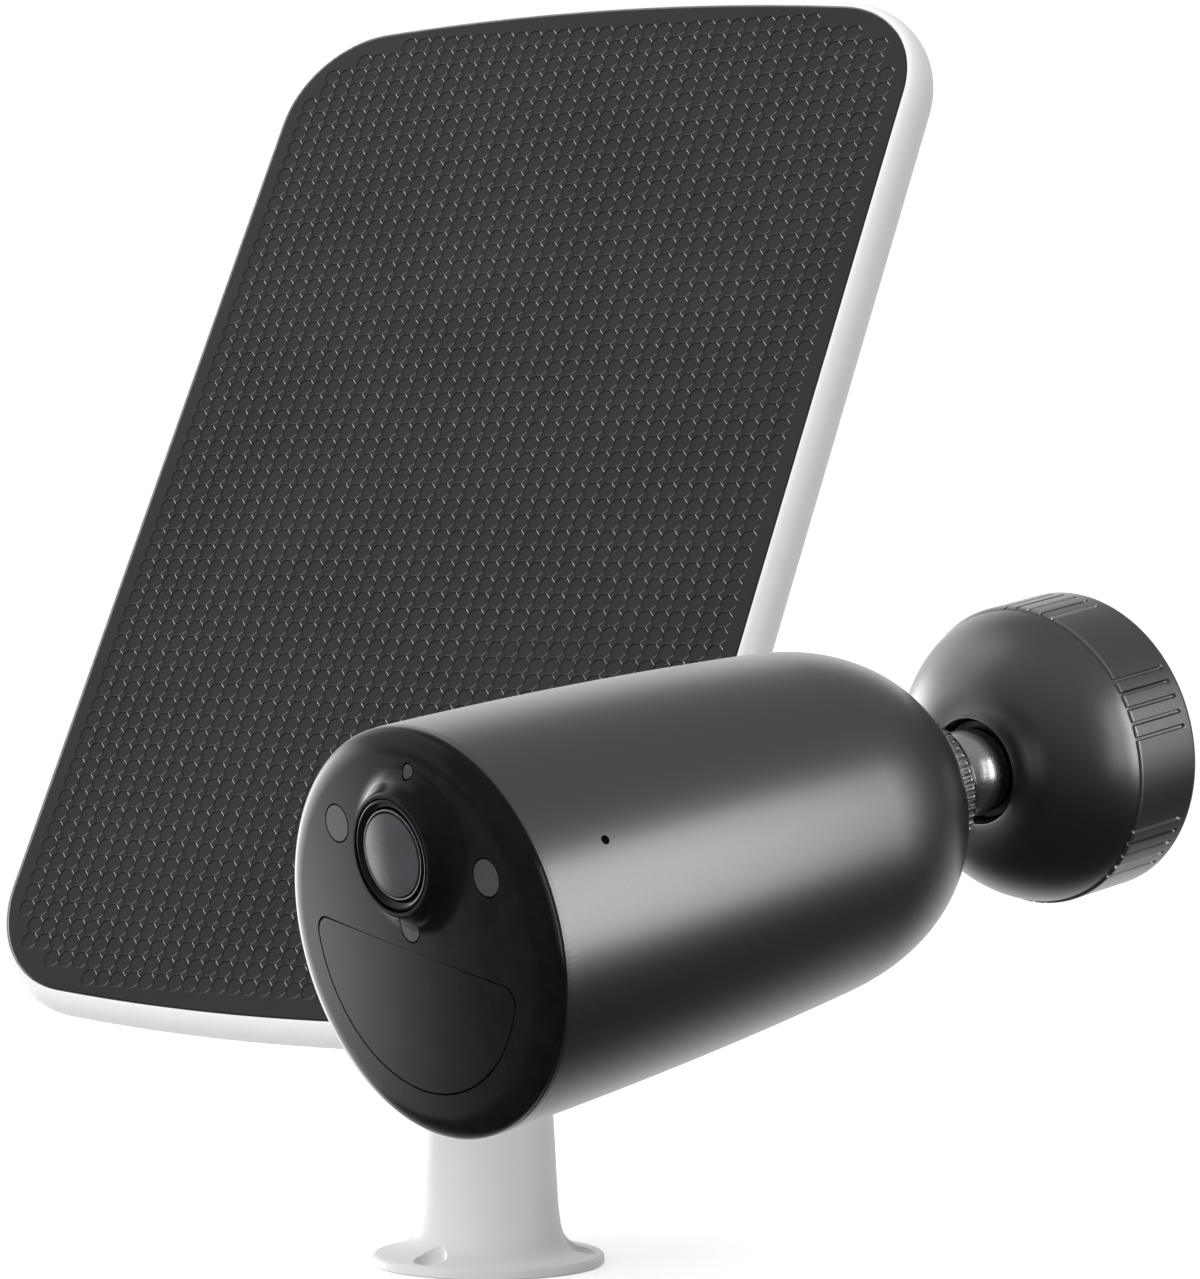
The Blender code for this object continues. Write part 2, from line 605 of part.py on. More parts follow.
# ---------------------------------------------------------------- solar panel
def panel_outline(grow, per_corner=6, per_bow=5):
    """Rounded rectangle with bowed top and bottom, grown outwards, as (x, z) points."""
    half_w = PANEL_W / 2 + grow
    half_h = PANEL_H / 2 + grow
    bow = (PANEL_W / 2) ** 2 / (2 * PANEL_SAG) + grow
    corner = PANEL_CORNER + grow
    cx = half_w - corner
    bow_z = half_h - bow
    cz = bow_z + math.sqrt((bow - corner) ** 2 - cx ** 2)
    lean = math.degrees(math.atan2(cz - bow_z, cx))
    top_right = arc((cx, cz), corner, 0, lean, per_corner)
    top = arc((0, bow_z), bow, lean, 180 - lean, per_bow)[1:-1]
    top_left = [(-x, z) for x, z in reversed(top_right)]
    upper = top_right + top + top_left
    return upper + [(-x, -z) for x, z in upper]


def panel_ring(grow, depth):
    return [(x, -FACE_AHEAD + depth, z + PANEL_RISE) for x, z in panel_outline(grow)]


def panel_frame(parent):
    bulge = [(GAP + RIM_BULGE * math.sin(math.radians(a)), RIM_T / 2 * (1 - math.cos(math.radians(a))))
             for a in range(20, 161, 20)]
    section = ([(GAP, 0.1 * MM)] + bulge
               + [(-2.0 * MM, RIM_T), (-2.5 * MM, RIM_T - 0.3 * MM), (-2.5 * MM, 7.6 * MM),
                  (-6.0 * MM, 7.6 * MM), (-6.0 * MM, LAMINATE_T + 0.4 * MM), (GAP, LAMINATE_T + 0.4 * MM)])
    rings = [panel_ring(grow, depth) for grow, depth in section]
    return finish("panel_frame", loft(rings, closed=True), "white", parent)


def solar_laminate(parent):
    section = [(-0.25 * MM, 0.0), (0.0, 0.25 * MM), (0.0, LAMINATE_T)]
    return finish("solar_laminate", loft([panel_ring(g, d) for g, d in section]), "laminate", parent)


def panel_back(parent):
    section = [(-5.0 * MM, 7.9 * MM), (-2.8 * MM, 7.9 * MM), (-2.8 * MM, 9.8 * MM), (-3.4 * MM, 10.2 * MM),
               (-13.0 * MM, 12.6 * MM), (-15.0 * MM, 12.8 * MM)]
    cover = finish("panel_back", loft([panel_ring(g, d) for g, d in section]), "white", parent)
    boss = turned("form_panel_boss", [(0, 9 * MM), (13.5 * MM, 9 * MM), (12.6 * MM, 17.2 * MM),
                                      (11.8 * MM, 18 * MM), (0, 18 * MM)], None, parent, 40,
                  (0, -FACE_AHEAD, 0), TO_MINUS_Y.inverted())
    boolean(cover, guide(boss), "UNION")
    inner = [(-8.0 * MM, 7.0 * MM), (-8.0 * MM, 9.4 * MM), (-16.0 * MM, 11.0 * MM)]
    hollow = finish("cut_panel_hollow", loft([panel_ring(g, d) for g, d in inner]), None, parent)
    keep = turned("form_insert_post", disc_profile(9 * MM, 7.9 * MM, 12 * MM), None, parent, 28,
                  (0, -FACE_AHEAD, 0), TO_MINUS_Y.inverted())
    boolean(cover, guide(hollow))
    boolean(cover, guide(keep), "UNION")
    bore = turned("cut_insert_bore", disc_profile(5.3 * MM, 5 * MM, 22 * MM), None, parent, 24,
                  (0, -FACE_AHEAD, 0), TO_MINUS_Y.inverted())
    boolean(cover, guide(bore))
    return cover


def panel_hardware(parent):
    back = TO_MINUS_Y.inverted()
    insert = ring_profile(PSTUD_R + GAP, 5.0 * MM, 9.5 * MM, 18.0 * MM)
    turned("panel_insert", insert, "brass", parent, 24, (0, -FACE_AHEAD, 0), back)
    box("charge_board", (34 * MM, 1.4 * MM, 22 * MM), "board_green", parent,
        (-30 * MM, -FACE_AHEAD + 6.0 * MM, 55 * MM))
    relief = [(CABLE_R + 0.2 * MM, 13.0 * MM), (4.6 * MM, 13.0 * MM), (4.6 * MM, 14.0 * MM),
              (3.0 * MM, 20.0 * MM), (CABLE_R + 0.2 * MM, 20.0 * MM)]
    turned("strain_relief", relief, "rubber", parent, 20, (CABLE_X, -FACE_AHEAD, CABLE_Z), back)


def cable_path():
    """Out of the strain relief, round a flat coil behind the panel, then straight to the plug."""
    steps = 12
    bend = 8 * MM
    start = Vector((CABLE_X, -FACE_AHEAD + 13.4 * MM, CABLE_Z))
    points = [start, start + Vector((0, bend, 0))]
    for i in range(1, 4):
        a = math.radians(30 * i)
        points.append(start + Vector((-bend * 0.4 * (1 - math.cos(a)), bend + bend * 0.5 * math.sin(a), 0)))
    centre = Vector((CABLE_X - COIL_R - bend, -FACE_AHEAD, CABLE_Z + bend))
    count = int(COIL_TURNS * steps)
    for i in range(count + 1):
        a = 2 * math.pi * i / steps - math.radians(50)
        layer = COIL_START + (COIL_END - COIL_START) * i / count
        points.append(centre + Vector((COIL_R * math.cos(a), layer, COIL_R * math.sin(a))))
    onward = Vector((-math.sin(a), 0, math.cos(a)))
    points.append(points[-1] + onward * LEAD_TAIL)
    return points, onward


def tube_along(points, radius, sides):
    """A capped tube of constant section swept along a list of points."""
    rings = []
    up = Vector((0, 0, 1))
    for i, point in enumerate(points):
        ahead = points[min(i + 1, len(points) - 1)]
        behind = points[max(i - 1, 0)]
        along = (ahead - behind).normalized()
        across = up.cross(along) if rings and abs(along.dot(up)) < 0.99 else Vector((1, 0, 0)).cross(along)
        if rings:
            across = last - along * last.dot(along)
        across.normalize()
        last = across
        other = along.cross(across)
        rings.append([point + (across * math.cos(a) + other * math.sin(a)) * radius
                      for a in [2 * math.pi * k / sides for k in range(sides)]])
    return loft(rings)


def charging_lead(parent):
    """The panel's lead and the plug at its free end."""
    points, onward = cable_path()
    finish("charging_lead", tube_along(points, CABLE_R, 8), "cable", parent)
    profile = [(0, GAP), (CABLE_R + 0.3 * MM, GAP), (2.8 * MM, 4 * MM), (PLUG_R, 6 * MM),
               (PLUG_R, PLUG_LEN - 0.6 * MM), (PLUG_R - 0.6 * MM, PLUG_LEN), (0, PLUG_LEN)]
    turn = onward.to_track_quat("Z", "Y").to_matrix()
    plug = turned("charging_plug", profile, "rubber", parent, 20, points[-1], turn)
    tip = box("form_plug_tip", (6.4 * MM, 2.4 * MM, 7 * MM), None, parent,
              points[-1] + onward * (PLUG_LEN + 2.5 * MM), 0, turn)
    boolean(plug, guide(tip), "UNION")
    return plug


# ---------------------------------------------------------------- panel bracket
def stem_radius(z):
    return STEM_R0 + (STEM_R1 - STEM_R0) * (z - 7 * MM) / (STEM_TOP - 7 * MM)


def bracket_stem(parent):
    """Flange, tapering stem and ball cup in one casting."""
    cup_r = PBALL_R + GAP
    cup = arc((0, PANEL_BALL.z), cup_r, -90, -4, 7)
    cup[0] = (0, PANEL_BALL.z - cup_r)
    flare = [(FLANGE_R, 0), (FLANGE_R, FLANGE_T), (20.4 * MM, 3.0 * MM), (17.2 * MM, 4.2 * MM),
             (15.3 * MM, 5.6 * MM), (stem_radius(7 * MM), 7.2 * MM)]
    neck = [(stem_radius(z), z) for z in [30 * MM, 60 * MM, STEM_TOP]]
    head = [(12.6 * MM, STEM_TOP + 4 * MM), (12.6 * MM, STEM_TOP + 6.2 * MM), (11.6 * MM, STEM_TOP + 6.6 * MM),
            (11.6 * MM, PANEL_BALL.z - 2 * GAP)]
    points = [(0, 0)] + flare + neck + head + list(reversed(cup))
    stem = turned("bracket_stem", points, "white_metal", parent, 40)
    for i, degrees in enumerate(HOLE_ANGLES):
        a = math.radians(degrees)
        profile = [(0, -2 * MM), (HOLE_R, -2 * MM), (HOLE_R, 1.4 * MM), (HOLE_R + 1.2 * MM, 2.6 * MM),
                   (HOLE_R + 1.2 * MM, 8 * MM), (0, 8 * MM)]
        tool = turned("cut_flange_hole_%d" % i, profile, None, parent, 16,
                      (HOLE_CIRCLE_R * math.cos(a), HOLE_CIRCLE_R * math.sin(a), 0))
        boolean(stem, guide(tool))
    return stem


def clamp_collar(parent):
    """Ring nut that squeezes the ball seat; it screws onto the stem's head."""
    low = STEM_TOP + 6.6 * MM - PANEL_BALL.z
    outer = [(SOCKET_R - 0.4 * MM, low), (SOCKET_R, low + 0.5 * MM), (SOCKET_R, -1.6 * MM), (12.9 * MM, 0.6 * MM),
             (11.4 * MM, 1.7 * MM)]
    inner = [(9.9 * MM, 1.7 * MM), (9.9 * MM, 1.4 * MM), (11.9 * MM, 0.3 * MM), (11.9 * MM, low)]
    return turned("clamp_collar", outer + inner, "white", parent, 28)


def panel_ball_seat(parent):
    """Split ring that rests on the cup's rim and grips the ball above its equator."""
    inner = PBALL_R + GAP
    grip = arc((0, 0), inner, 1, 6.5, 3)
    points = [(11.5 * MM, -0.3 * MM), (11.5 * MM, 0.1 * MM), (9.7 * MM, 1.05 * MM)] + list(reversed(grip))
    points += [(inner, -0.3 * MM)]
    return turned("panel_ball_seat", points, "nylon", parent, 24)


def panel_stud(parent):
    """Ball and threaded stud; the stud leaves the ball towards local -Y."""
    start = math.degrees(math.asin(PSTUD_R / PBALL_R))
    ball = arc((0, 0), PBALL_R, -90 + start, 90, 11)
    ball[-1] = (0, PBALL_R)
    length = 24.0 * MM
    points = [(0, -length), (PSTUD_R - 0.5 * MM, -length), (PSTUD_R, -length + 0.5 * MM)] + ball
    return turned("panel_stud", points, "steel", parent, 20, (0, 0, 0), TO_MINUS_Y.inverted())


def panel_nut(parent):
    """Hexagon nut with rounded corners that locks the stud in the panel."""
    start = -FACE_AHEAD + 18.3 * MM
    flats = 6
    rings = []
    for radius, y in ((PSTUD_R + GAP, start), (6.2 * MM, start), (6.5 * MM, start + 0.4 * MM),
                      (6.5 * MM, start + 3.2 * MM), (6.0 * MM, start + 3.6 * MM), (PSTUD_R + GAP, start + 3.6 * MM)):
        count = flats * 4
        ring = []
        for i in range(count):
            a = 2 * math.pi * i / count
            reach = radius
            if radius > 5 * MM:
                local = (math.degrees(a) % 60) - 30
                reach = radius * min(1.0, 0.90 / math.cos(math.radians(local)))
            ring.append((reach * math.cos(a), y, reach * math.sin(a)))
        rings.append(ring)
    return finish("panel_nut", loft(rings, closed=True), "steel", parent, angle=25)


def back_screws(parent):
    for i, (x, z) in enumerate(((-58, -52), (58, -52), (-58, 125), (58, 125))):
        points = [(0, 12.95 * MM), (2.6 * MM, 12.95 * MM), (2.6 * MM, 13.6 * MM), (2.0 * MM, 14.3 * MM),
                  (1.1 * MM, 14.5 * MM), (1.1 * MM, 13.7 * MM), (0, 13.7 * MM)]
        turned("back_screw_%d" % (i + 1), points, "steel", parent, 20, (x * MM, -FACE_AHEAD, z * MM),
               TO_MINUS_Y.inverted())


# ---------------------------------------------------------------- assembly
def camera_turn():
    yaw = Matrix.Rotation(math.radians(CAMERA_YAW), 3, "Z")
    pitch = Matrix.Rotation(math.radians(CAMERA_PITCH), 3, "X")
    roll = Matrix.Rotation(math.radians(CAMERA_ROLL), 3, "Y")
    return yaw @ pitch @ roll


def mount_turn():
    """Mount frame whose +Z points out of the wall, to the camera."""
    yaw = Matrix.Rotation(math.radians(MOUNT_YAW), 3, "Z")
    pitch = Matrix.Rotation(math.radians(MOUNT_PITCH), 3, "X")
    return yaw @ pitch @ TO_MINUS_Y


def build_camera():
    stud_axis = empty("camera_ball", None, CAMERA_BALL, camera_turn())
    mount_axis = empty("mount_ball", None, CAMERA_BALL, mount_turn())
    frame_y = (0, RIM_Y, 0)
    camera_shell(stud_axis)
    front_cover(stud_axis, frame_y)
    pir_window(stud_axis, frame_y)
    window("ir_window_left", IR_R, -IR_X, IR_Z, FACE_RISE, stud_axis, frame_y)
    window("ir_window_right", IR_R, IR_X, IR_Z, FACE_RISE, stud_axis, frame_y)
    window("light_sensor_window", SENSOR_R, 0, SENSOR_Z, FACE_RISE, stud_axis, frame_y)
    window("status_window", STATUS_R, 0, STATUS_Z, FACE_RISE + 0.3 * MM, stud_axis, frame_y)
    lens_parts(stud_axis, frame_y)
    camera_inside(stud_axis)
    camera_tail(stud_axis)
    y = port_parts(stud_axis)
    port_cover(stud_axis, y)
    reset_button(stud_axis, y)
    ball_stud(stud_axis)
    lock_nut(stud_axis)
    ball_liner(mount_axis)
    mount_cap(mount_axis)
    mount_base(mount_axis)


def build_panel():
    turn = Matrix.Rotation(math.radians(PANEL_YAW), 3, "Z") @ Matrix.Rotation(math.radians(-PANEL_TILT), 3, "X")
    tilt_axis = empty("panel_ball", None, PANEL_BALL, turn)
    stem_axis = empty("stem_top", None, PANEL_BALL)
    panel_frame(tilt_axis)
    solar_laminate(tilt_axis)
    panel_back(tilt_axis)
    panel_hardware(tilt_axis)
    charging_lead(tilt_axis)
    back_screws(tilt_axis)
    panel_stud(tilt_axis)
    panel_nut(tilt_axis)
    panel_ball_seat(stem_axis)
    clamp_collar(stem_axis)
    bracket_stem(None)


clear_scene()
build_camera()
build_panel()
bpy.context.view_layer.update()
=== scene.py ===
"""Looks of the solar-powered security camera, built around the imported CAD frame.

Every unit is modelled in its own frame, whose +Z points out of the front: the camera along its lens,
the ball mount out of the wall, the panel along its face, the bracket up its stem. Lengths are in metres.
"""

import json
import math

import bmesh
import bpy
import numpy as np
from mathutils import Matrix, Vector

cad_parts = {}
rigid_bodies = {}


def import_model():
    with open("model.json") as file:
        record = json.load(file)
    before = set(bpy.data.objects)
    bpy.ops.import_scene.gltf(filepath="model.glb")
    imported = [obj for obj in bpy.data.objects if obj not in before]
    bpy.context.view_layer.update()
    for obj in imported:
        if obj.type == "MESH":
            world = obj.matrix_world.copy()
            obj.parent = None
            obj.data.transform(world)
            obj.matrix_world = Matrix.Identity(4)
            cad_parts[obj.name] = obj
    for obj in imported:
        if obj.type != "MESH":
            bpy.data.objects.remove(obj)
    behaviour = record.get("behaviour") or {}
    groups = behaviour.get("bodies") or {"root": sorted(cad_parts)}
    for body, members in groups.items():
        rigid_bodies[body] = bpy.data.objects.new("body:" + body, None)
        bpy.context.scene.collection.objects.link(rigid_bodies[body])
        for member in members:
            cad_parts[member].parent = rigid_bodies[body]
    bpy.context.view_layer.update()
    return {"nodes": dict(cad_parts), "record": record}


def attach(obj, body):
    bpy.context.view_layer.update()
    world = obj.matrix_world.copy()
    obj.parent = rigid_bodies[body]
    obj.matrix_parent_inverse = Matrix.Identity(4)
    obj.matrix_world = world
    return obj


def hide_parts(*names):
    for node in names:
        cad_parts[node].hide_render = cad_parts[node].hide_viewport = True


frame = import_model()

MM = 0.001
UP = Vector((0, 0, 1))
JOINTS = {joint["name"]: joint for joint in frame["record"]["behaviour"]["joints"]}


# ---------------------------------------------------------------- frames and measures
def axis_of(joint):
    return Vector(JOINTS[joint]["axis"]).normalized()


def unit_frame(origin, x, z):
    """4x4 matrix whose columns are x, z cross x and z, standing at the origin given."""
    y = z.cross(x)
    rows = Matrix((x, y, z)).transposed().to_4x4()
    rows.translation = Vector(origin)
    return rows


def camera_frame():
    return unit_frame(JOINTS["camera_roll"]["pos_m"], -axis_of("port_cover_open"), axis_of("camera_roll"))


def mount_frame():
    out = axis_of("camera_pan")
    return unit_frame(JOINTS["camera_pan"]["pos_m"], UP.cross(out).normalized(), out)


def panel_frame():
    return unit_frame(JOINTS["panel_roll"]["pos_m"], axis_of("panel_tilt"), axis_of("panel_roll"))


def stem_frame():
    return unit_frame(JOINTS["panel_swivel"]["pos_m"], Vector((1, 0, 0)), UP)


CAMERA = camera_frame()
MOUNT = mount_frame()
PANEL = panel_frame()
STEM = stem_frame()


class Measure:
    """Size and place of a CAD node, seen in a unit's own frame."""

    def __init__(self, node, place):
        mesh = frame["nodes"][node].data
        points = np.empty(len(mesh.vertices) * 3)
        mesh.vertices.foreach_get("co", points)
        turn = np.array(place.inverted())
        local = points.reshape(-1, 3) @ turn[:3, :3].T + turn[:3, 3]
        self.low = local.min(axis=0)
        self.high = local.max(axis=0)
        self.mid = (self.low + self.high) / 2
        self.radius = (self.high[0] - self.low[0]) / 2


# ---------------------------------------------------------------- mesh helpers
def add_object(name, verts, faces, place, look, body, slot, replaces=(), sharp=32):
    """Makes a mesh object in a unit's frame, with its look, its body and the nodes it stands for."""
    mesh = bpy.data.meshes.new(name)
    world = np.array(place)
    points = np.asarray(verts, float) @ world[:3, :3].T + world[:3, 3]
    mesh.from_pydata(points.tolist(), [], faces)
    mesh.validate()
    made = bpy.data.objects.new(name, mesh)
    bpy.context.scene.collection.objects.link(made)
    bm = bmesh.new()
    bm.from_mesh(mesh)
    bmesh.ops.remove_doubles(bm, verts=bm.verts, dist=1e-7)
    bmesh.ops.recalc_face_normals(bm, faces=bm.faces)
    bm.to_mesh(mesh)
    bm.free()
    mesh.shade_smooth()
    mesh.set_sharp_from_angle(angle=math.radians(sharp))
    mesh.materials.append(look)
    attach(made, body)
    if replaces:
        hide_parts(*replaces)
    return made


def grid_faces(rings, count, closed):
    faces = []
    for k in range(rings if closed else rings - 1):
        low = k * count
        high = ((k + 1) % rings) * count
        for i in range(count):
            j = (i + 1) % count
            faces.append((low + i, low + j, high + j, high + i))
    return faces


def rings_mesh(rings, closed=False):
    """Vertices and faces of rings of equal length; open ends are capped."""
    count = len(rings[0])
    verts = [point for ring in rings for point in ring]
    faces = grid_faces(len(rings), count, closed)
    if not closed:
        faces.append(tuple(reversed(range(count))))
        faces.append(tuple(range((len(rings) - 1) * count, len(rings) * count)))
    return verts, faces


def lathe(profile, steps, centre=(0, 0)):
    """Spins (radius, height) points about +Z. A profile that starts and ends on the axis is a solid."""
    on_axis = profile[0][0] == 0 and profile[-1][0] == 0
    body = profile[1:-1] if on_axis else profile
    angles = [2 * math.pi * i / steps for i in range(steps)]
    rings = [[(centre[0] + r * math.cos(a), centre[1] + r * math.sin(a), h) for a in angles] for r, h in body]
    return rings_mesh(rings, closed=not on_axis)


def arc(centre, radius, start, end, count):
    angles = [math.radians(start + (end - start) * i / (count - 1)) for i in range(count)]
    return [(centre[0] + radius * math.cos(a), centre[1] + radius * math.sin(a)) for a in angles]


def rounded(profile, radius, steps=4):
    """Rounds the inner corners of an open profile with quadratic arcs of about the radius given."""
    out = [profile[0]]
    for before, corner, after in zip(profile, profile[1:], profile[2:]):
        a, b, c = Vector(before), Vector(corner), Vector(after)
        reach = min(radius, (a - b).length * 0.45, (c - b).length * 0.45)
        start = b + (a - b).normalized() * reach
        end = b + (c - b).normalized() * reach
        for i in range(steps + 1):
            t = i / steps
            point = start * (1 - t) ** 2 + b * 2 * t * (1 - t) + end * t ** 2
            out.append((point.x, point.y))
    out.append(profile[-1])
    return out


def cutter(name, verts, faces, place):
    """A tool for a Boolean, removed once the cut is applied."""
    mesh = bpy.data.meshes.new(name)
    world = np.array(place)
    points = np.asarray(verts, float) @ world[:3, :3].T + world[:3, 3]
    mesh.from_pydata(points.tolist(), [], faces)
    bm = bmesh.new()
    bm.from_mesh(mesh)
    bmesh.ops.recalc_face_normals(bm, faces=bm.faces)
    bm.to_mesh(mesh)
    bm.free()
    made = bpy.data.objects.new(name, mesh)
    bpy.context.scene.collection.objects.link(made)
    return made


def cut(target, tools, operation="DIFFERENCE"):
    """Applies Booleans to the target's mesh and removes the tools."""
    for tool in tools:
        step = target.modifiers.new("cut", "BOOLEAN")
        step.operation = operation
        step.object = tool
        step.solver = "EXACT"
    evaluated = target.evaluated_get(bpy.context.evaluated_depsgraph_get())
    mesh = bpy.data.meshes.new_from_object(evaluated)
    target.modifiers.clear()
    old = target.data
    target.data = mesh
    bpy.data.meshes.remove(old)
    for tool in tools:
        bpy.data.objects.remove(tool, do_unlink=True)


def shade_by(target, place, normal_at, threshold=0.9):
    """Sets smooth normals from a surface's own formula wherever a face lies close to that surface."""
    mesh = target.data
    turn = place.to_3x3()
    back = place.inverted()
    normals = [None] * len(mesh.loops)
    for face in mesh.polygons:
        flat = turn.inverted() @ face.normal
        for loop in face.loop_indices:
            local = back @ mesh.vertices[mesh.loops[loop].vertex_index].co
            wanted = normal_at(local)
            use = wanted if wanted is not None and wanted.dot(flat) > threshold else flat
            normals[loop] = (turn @ use).normalized()
    mesh.normals_split_custom_set(normals)


# ---------------------------------------------------------------- materials
class Look:
    """Short way to write a node material around one Principled shader."""

    def __init__(self, name):
        self.material = bpy.data.materials.new(name)
        self.material.use_nodes = True
        self.tree = self.material.node_tree
        self.shader = self.tree.nodes["Principled BSDF"]
        self.where = self.node("ShaderNodeTexCoord").outputs["Object"]

    def node(self, kind, **settings):
        made = self.tree.nodes.new(kind)
        for key, value in settings.items():
            setattr(made, key, value)
        return made

    def link(self, source, target):
        self.tree.links.new(source, target)

    def set(self, **values):
        for key, value in values.items():
            label = key.replace("_", " ").title().replace("Ior", "IOR")
            self.shader.inputs[label].default_value = value
        return self

    def noise(self, scale, detail=3.0, rough=0.5):
        made = self.node("ShaderNodeTexNoise")
        made.inputs["Scale"].default_value = scale
        made.inputs["Detail"].default_value = detail
        made.inputs["Roughness"].default_value = rough
        self.link(self.where, made.inputs["Vector"])
        return made.outputs["Fac"]

    def ramp(self, source, low, high):
        made = self.node("ShaderNodeMapRange")
        made.inputs["From Min"].default_value = 0.3
        made.inputs["From Max"].default_value = 0.7
        made.inputs["To Min"].default_value = low
        made.inputs["To Max"].default_value = high
        self.link(source, made.inputs["Value"])
        return made.outputs["Result"]

    def vary_roughness(self, scale, low, high):
        self.link(self.ramp(self.noise(scale), low, high), self.shader.inputs["Roughness"])
        return self

    def vary_colour(self, scale, dark, light, detail=3.0):
        mix = self.node("ShaderNodeMix", data_type="RGBA")
        mix.inputs["A"].default_value = (*dark, 1)
        mix.inputs["B"].default_value = (*light, 1)
        self.link(self.ramp(self.noise(scale, detail), 0.0, 1.0), mix.inputs["Factor"])
        self.link(mix.outputs["Result"], self.shader.inputs["Base Color"])
        return self

    def bump(self, source, strength, distance):
        made = self.node("ShaderNodeBump")
        made.inputs["Strength"].default_value = strength
        made.inputs["Distance"].default_value = distance
        self.link(source, made.inputs["Height"])
        self.link(made.outputs["Normal"], self.shader.inputs["Normal"])
        return self


def gunmetal():
    """Fine metallic paint: tiny flakes under a thin satin lacquer."""
    look = Look("gunmetal_paint").set(metallic=1.0, coat_weight=0.25, coat_roughness=0.22)
    look.vary_colour(9000, (0.205, 0.206, 0.208), (0.245, 0.246, 0.248), 2.0)
    look.vary_roughness(5200, 0.30, 0.40)
    look.bump(look.noise(7000, 2.0), 0.10, 0.00002)
    return look.material


def gloss_black():
    look = Look("gloss_black_front").set(specular_ior_level=0.22)
    look.vary_colour(300, (0.0045, 0.0045, 0.0050), (0.0070, 0.0070, 0.0075))
    look.vary_roughness(700, 0.14, 0.18)
    return look.material


def window_smoked():
    look = Look("smoked_window").set(specular_ior_level=0.25)
    look.vary_colour(90, (0.036, 0.036, 0.037), (0.042, 0.042, 0.043))
    look.vary_roughness(300, 0.25, 0.30)
    return look.material


def satin_black(name, colour, rough, grain):
    look = Look(name)
    look.vary_colour(1500, tuple(0.8 * c for c in colour), tuple(1.2 * c for c in colour))
    look.vary_roughness(2500, rough - 0.06, rough + 0.06)
    look.bump(look.noise(grain, 4.0), 0.25, 0.00004)
    return look.material


def lens_glass():
    """Deep grey coated glass with a faint blue."""
    look = Look("coated_lens_glass").set(specular_ior_level=0.09)
    look.vary_colour(160, (0.052, 0.054, 0.058), (0.068, 0.070, 0.076))
    look.vary_roughness(400, 0.22, 0.30)
    return look.material


def metal(name, colour, rough, grain=0.06):
    look = Look(name).set(metallic=1.0)
    look.vary_colour(2600, tuple(0.9 * c for c in colour), colour)
    look.vary_roughness(4000, rough * 0.8, rough * 1.2)
    look.bump(look.noise(6000, 2.0), grain, 0.00002)
    return look.material


def white_plastic(name, tone, rough, grain, depth):
    look = Look(name).set(specular_ior_level=0.45, subsurface_weight=0.04, subsurface_scale=0.002)
    look.vary_colour(40, (tone * 0.985, tone * 0.985, tone * 0.98), (tone, tone, tone * 0.995))
    look.vary_roughness(800, rough - 0.05, rough + 0.05)
    look.bump(look.noise(grain, 3.0), depth, 0.00004)
    return look.material


def laminate_film():
    """Matt charcoal film over the cells, with the faint mottle of the cells under it."""
    look = Look("laminate_film").set(specular_ior_level=0.30, coat_weight=0.04, coat_roughness=0.3)
    look.vary_colour(28, (0.0190, 0.0191, 0.0195), (0.0245, 0.0247, 0.0252), 4.0)
    look.vary_roughness(1800, 0.34, 0.42)
    look.bump(look.noise(4500, 3.0), 0.10, 0.00002)
    return look.material


def board():
    look = Look("circuit_board").set(coat_weight=0.3)
    look.vary_colour(600, (0.012, 0.10, 0.045), (0.025, 0.17, 0.08))
    look.vary_roughness(900, 0.3, 0.5)
    return look.material


def cell_wrap():
    look = Look("cell_wrap").set(coat_weight=0.4)
    look.vary_colour(120, (0.04, 0.14, 0.36), (0.06, 0.18, 0.43))
    look.vary_roughness(500, 0.25, 0.4)
    return look.material


LOOKS = {
    "gunmetal": gunmetal(),
    "gloss_black": gloss_black(),
    "smoked_window": window_smoked(),
    "matte_black": satin_black("moulded_black", (0.016, 0.016, 0.017), 0.50, 3000),
    "rubber": satin_black("rubber", (0.020, 0.020, 0.021), 0.72, 2200),
    "nylon": satin_black("nylon_liner", (0.012, 0.012, 0.013), 0.42, 2500),
    "lens_glass": lens_glass(),
    "chrome": metal("polished_ball", (0.80, 0.80, 0.81), 0.27, 0.004),
    "steel": metal("nickel_steel", (0.62, 0.62, 0.63), 0.24, 0.006),
    "brass": metal("turned_brass", (0.72, 0.52, 0.24), 0.28),
    "white": white_plastic("white_moulding", 0.80, 0.40, 1800, 0.10),
    "white_metal": white_plastic("white_powder_coat", 0.80, 0.44, 1300, 0.22),
    "laminate": laminate_film(),
    "board_green": board(),
    "cell_wrap": cell_wrap(),
    "cable": white_plastic("cable_jacket", 0.66, 0.52, 1500, 0.15),
}


def dress_cad():
    """Gives every carried-over CAD node the finish of its slot."""
    for part in frame["record"]["subparts"]:
        shown = frame["nodes"][part["node"]]
        shown.data.materials.clear()
        shown.data.materials.append(LOOKS[part["material_slot"]])
        shown.data.shade_smooth()
        shown.data.set_sharp_from_angle(angle=math.radians(32))


# ---------------------------------------------------------------- camera body
SHELL = Measure("camera_shell", CAMERA)
COVER = Measure("front_cover", CAMERA)
PIR = Measure("pir_window", CAMERA)
LENS = Measure("lens_ring", CAMERA)
RIM_H = SHELL.high[2]
BODY_R = SHELL.radius
TAPER = 0.0474              # linear and square terms of the bullet's narrowing
BOW = 0.1296
BODY_UNIT = BODY_R / 0.35   # the length over which the two terms are counted
DOME_START = BODY_R * 2.2333
TAIL_CLOSES = BODY_R * 3.1788
DOME_POWER = 2.458
TAIL_HOLE_R = 12.6 * MM
WALL = 2.2 * MM


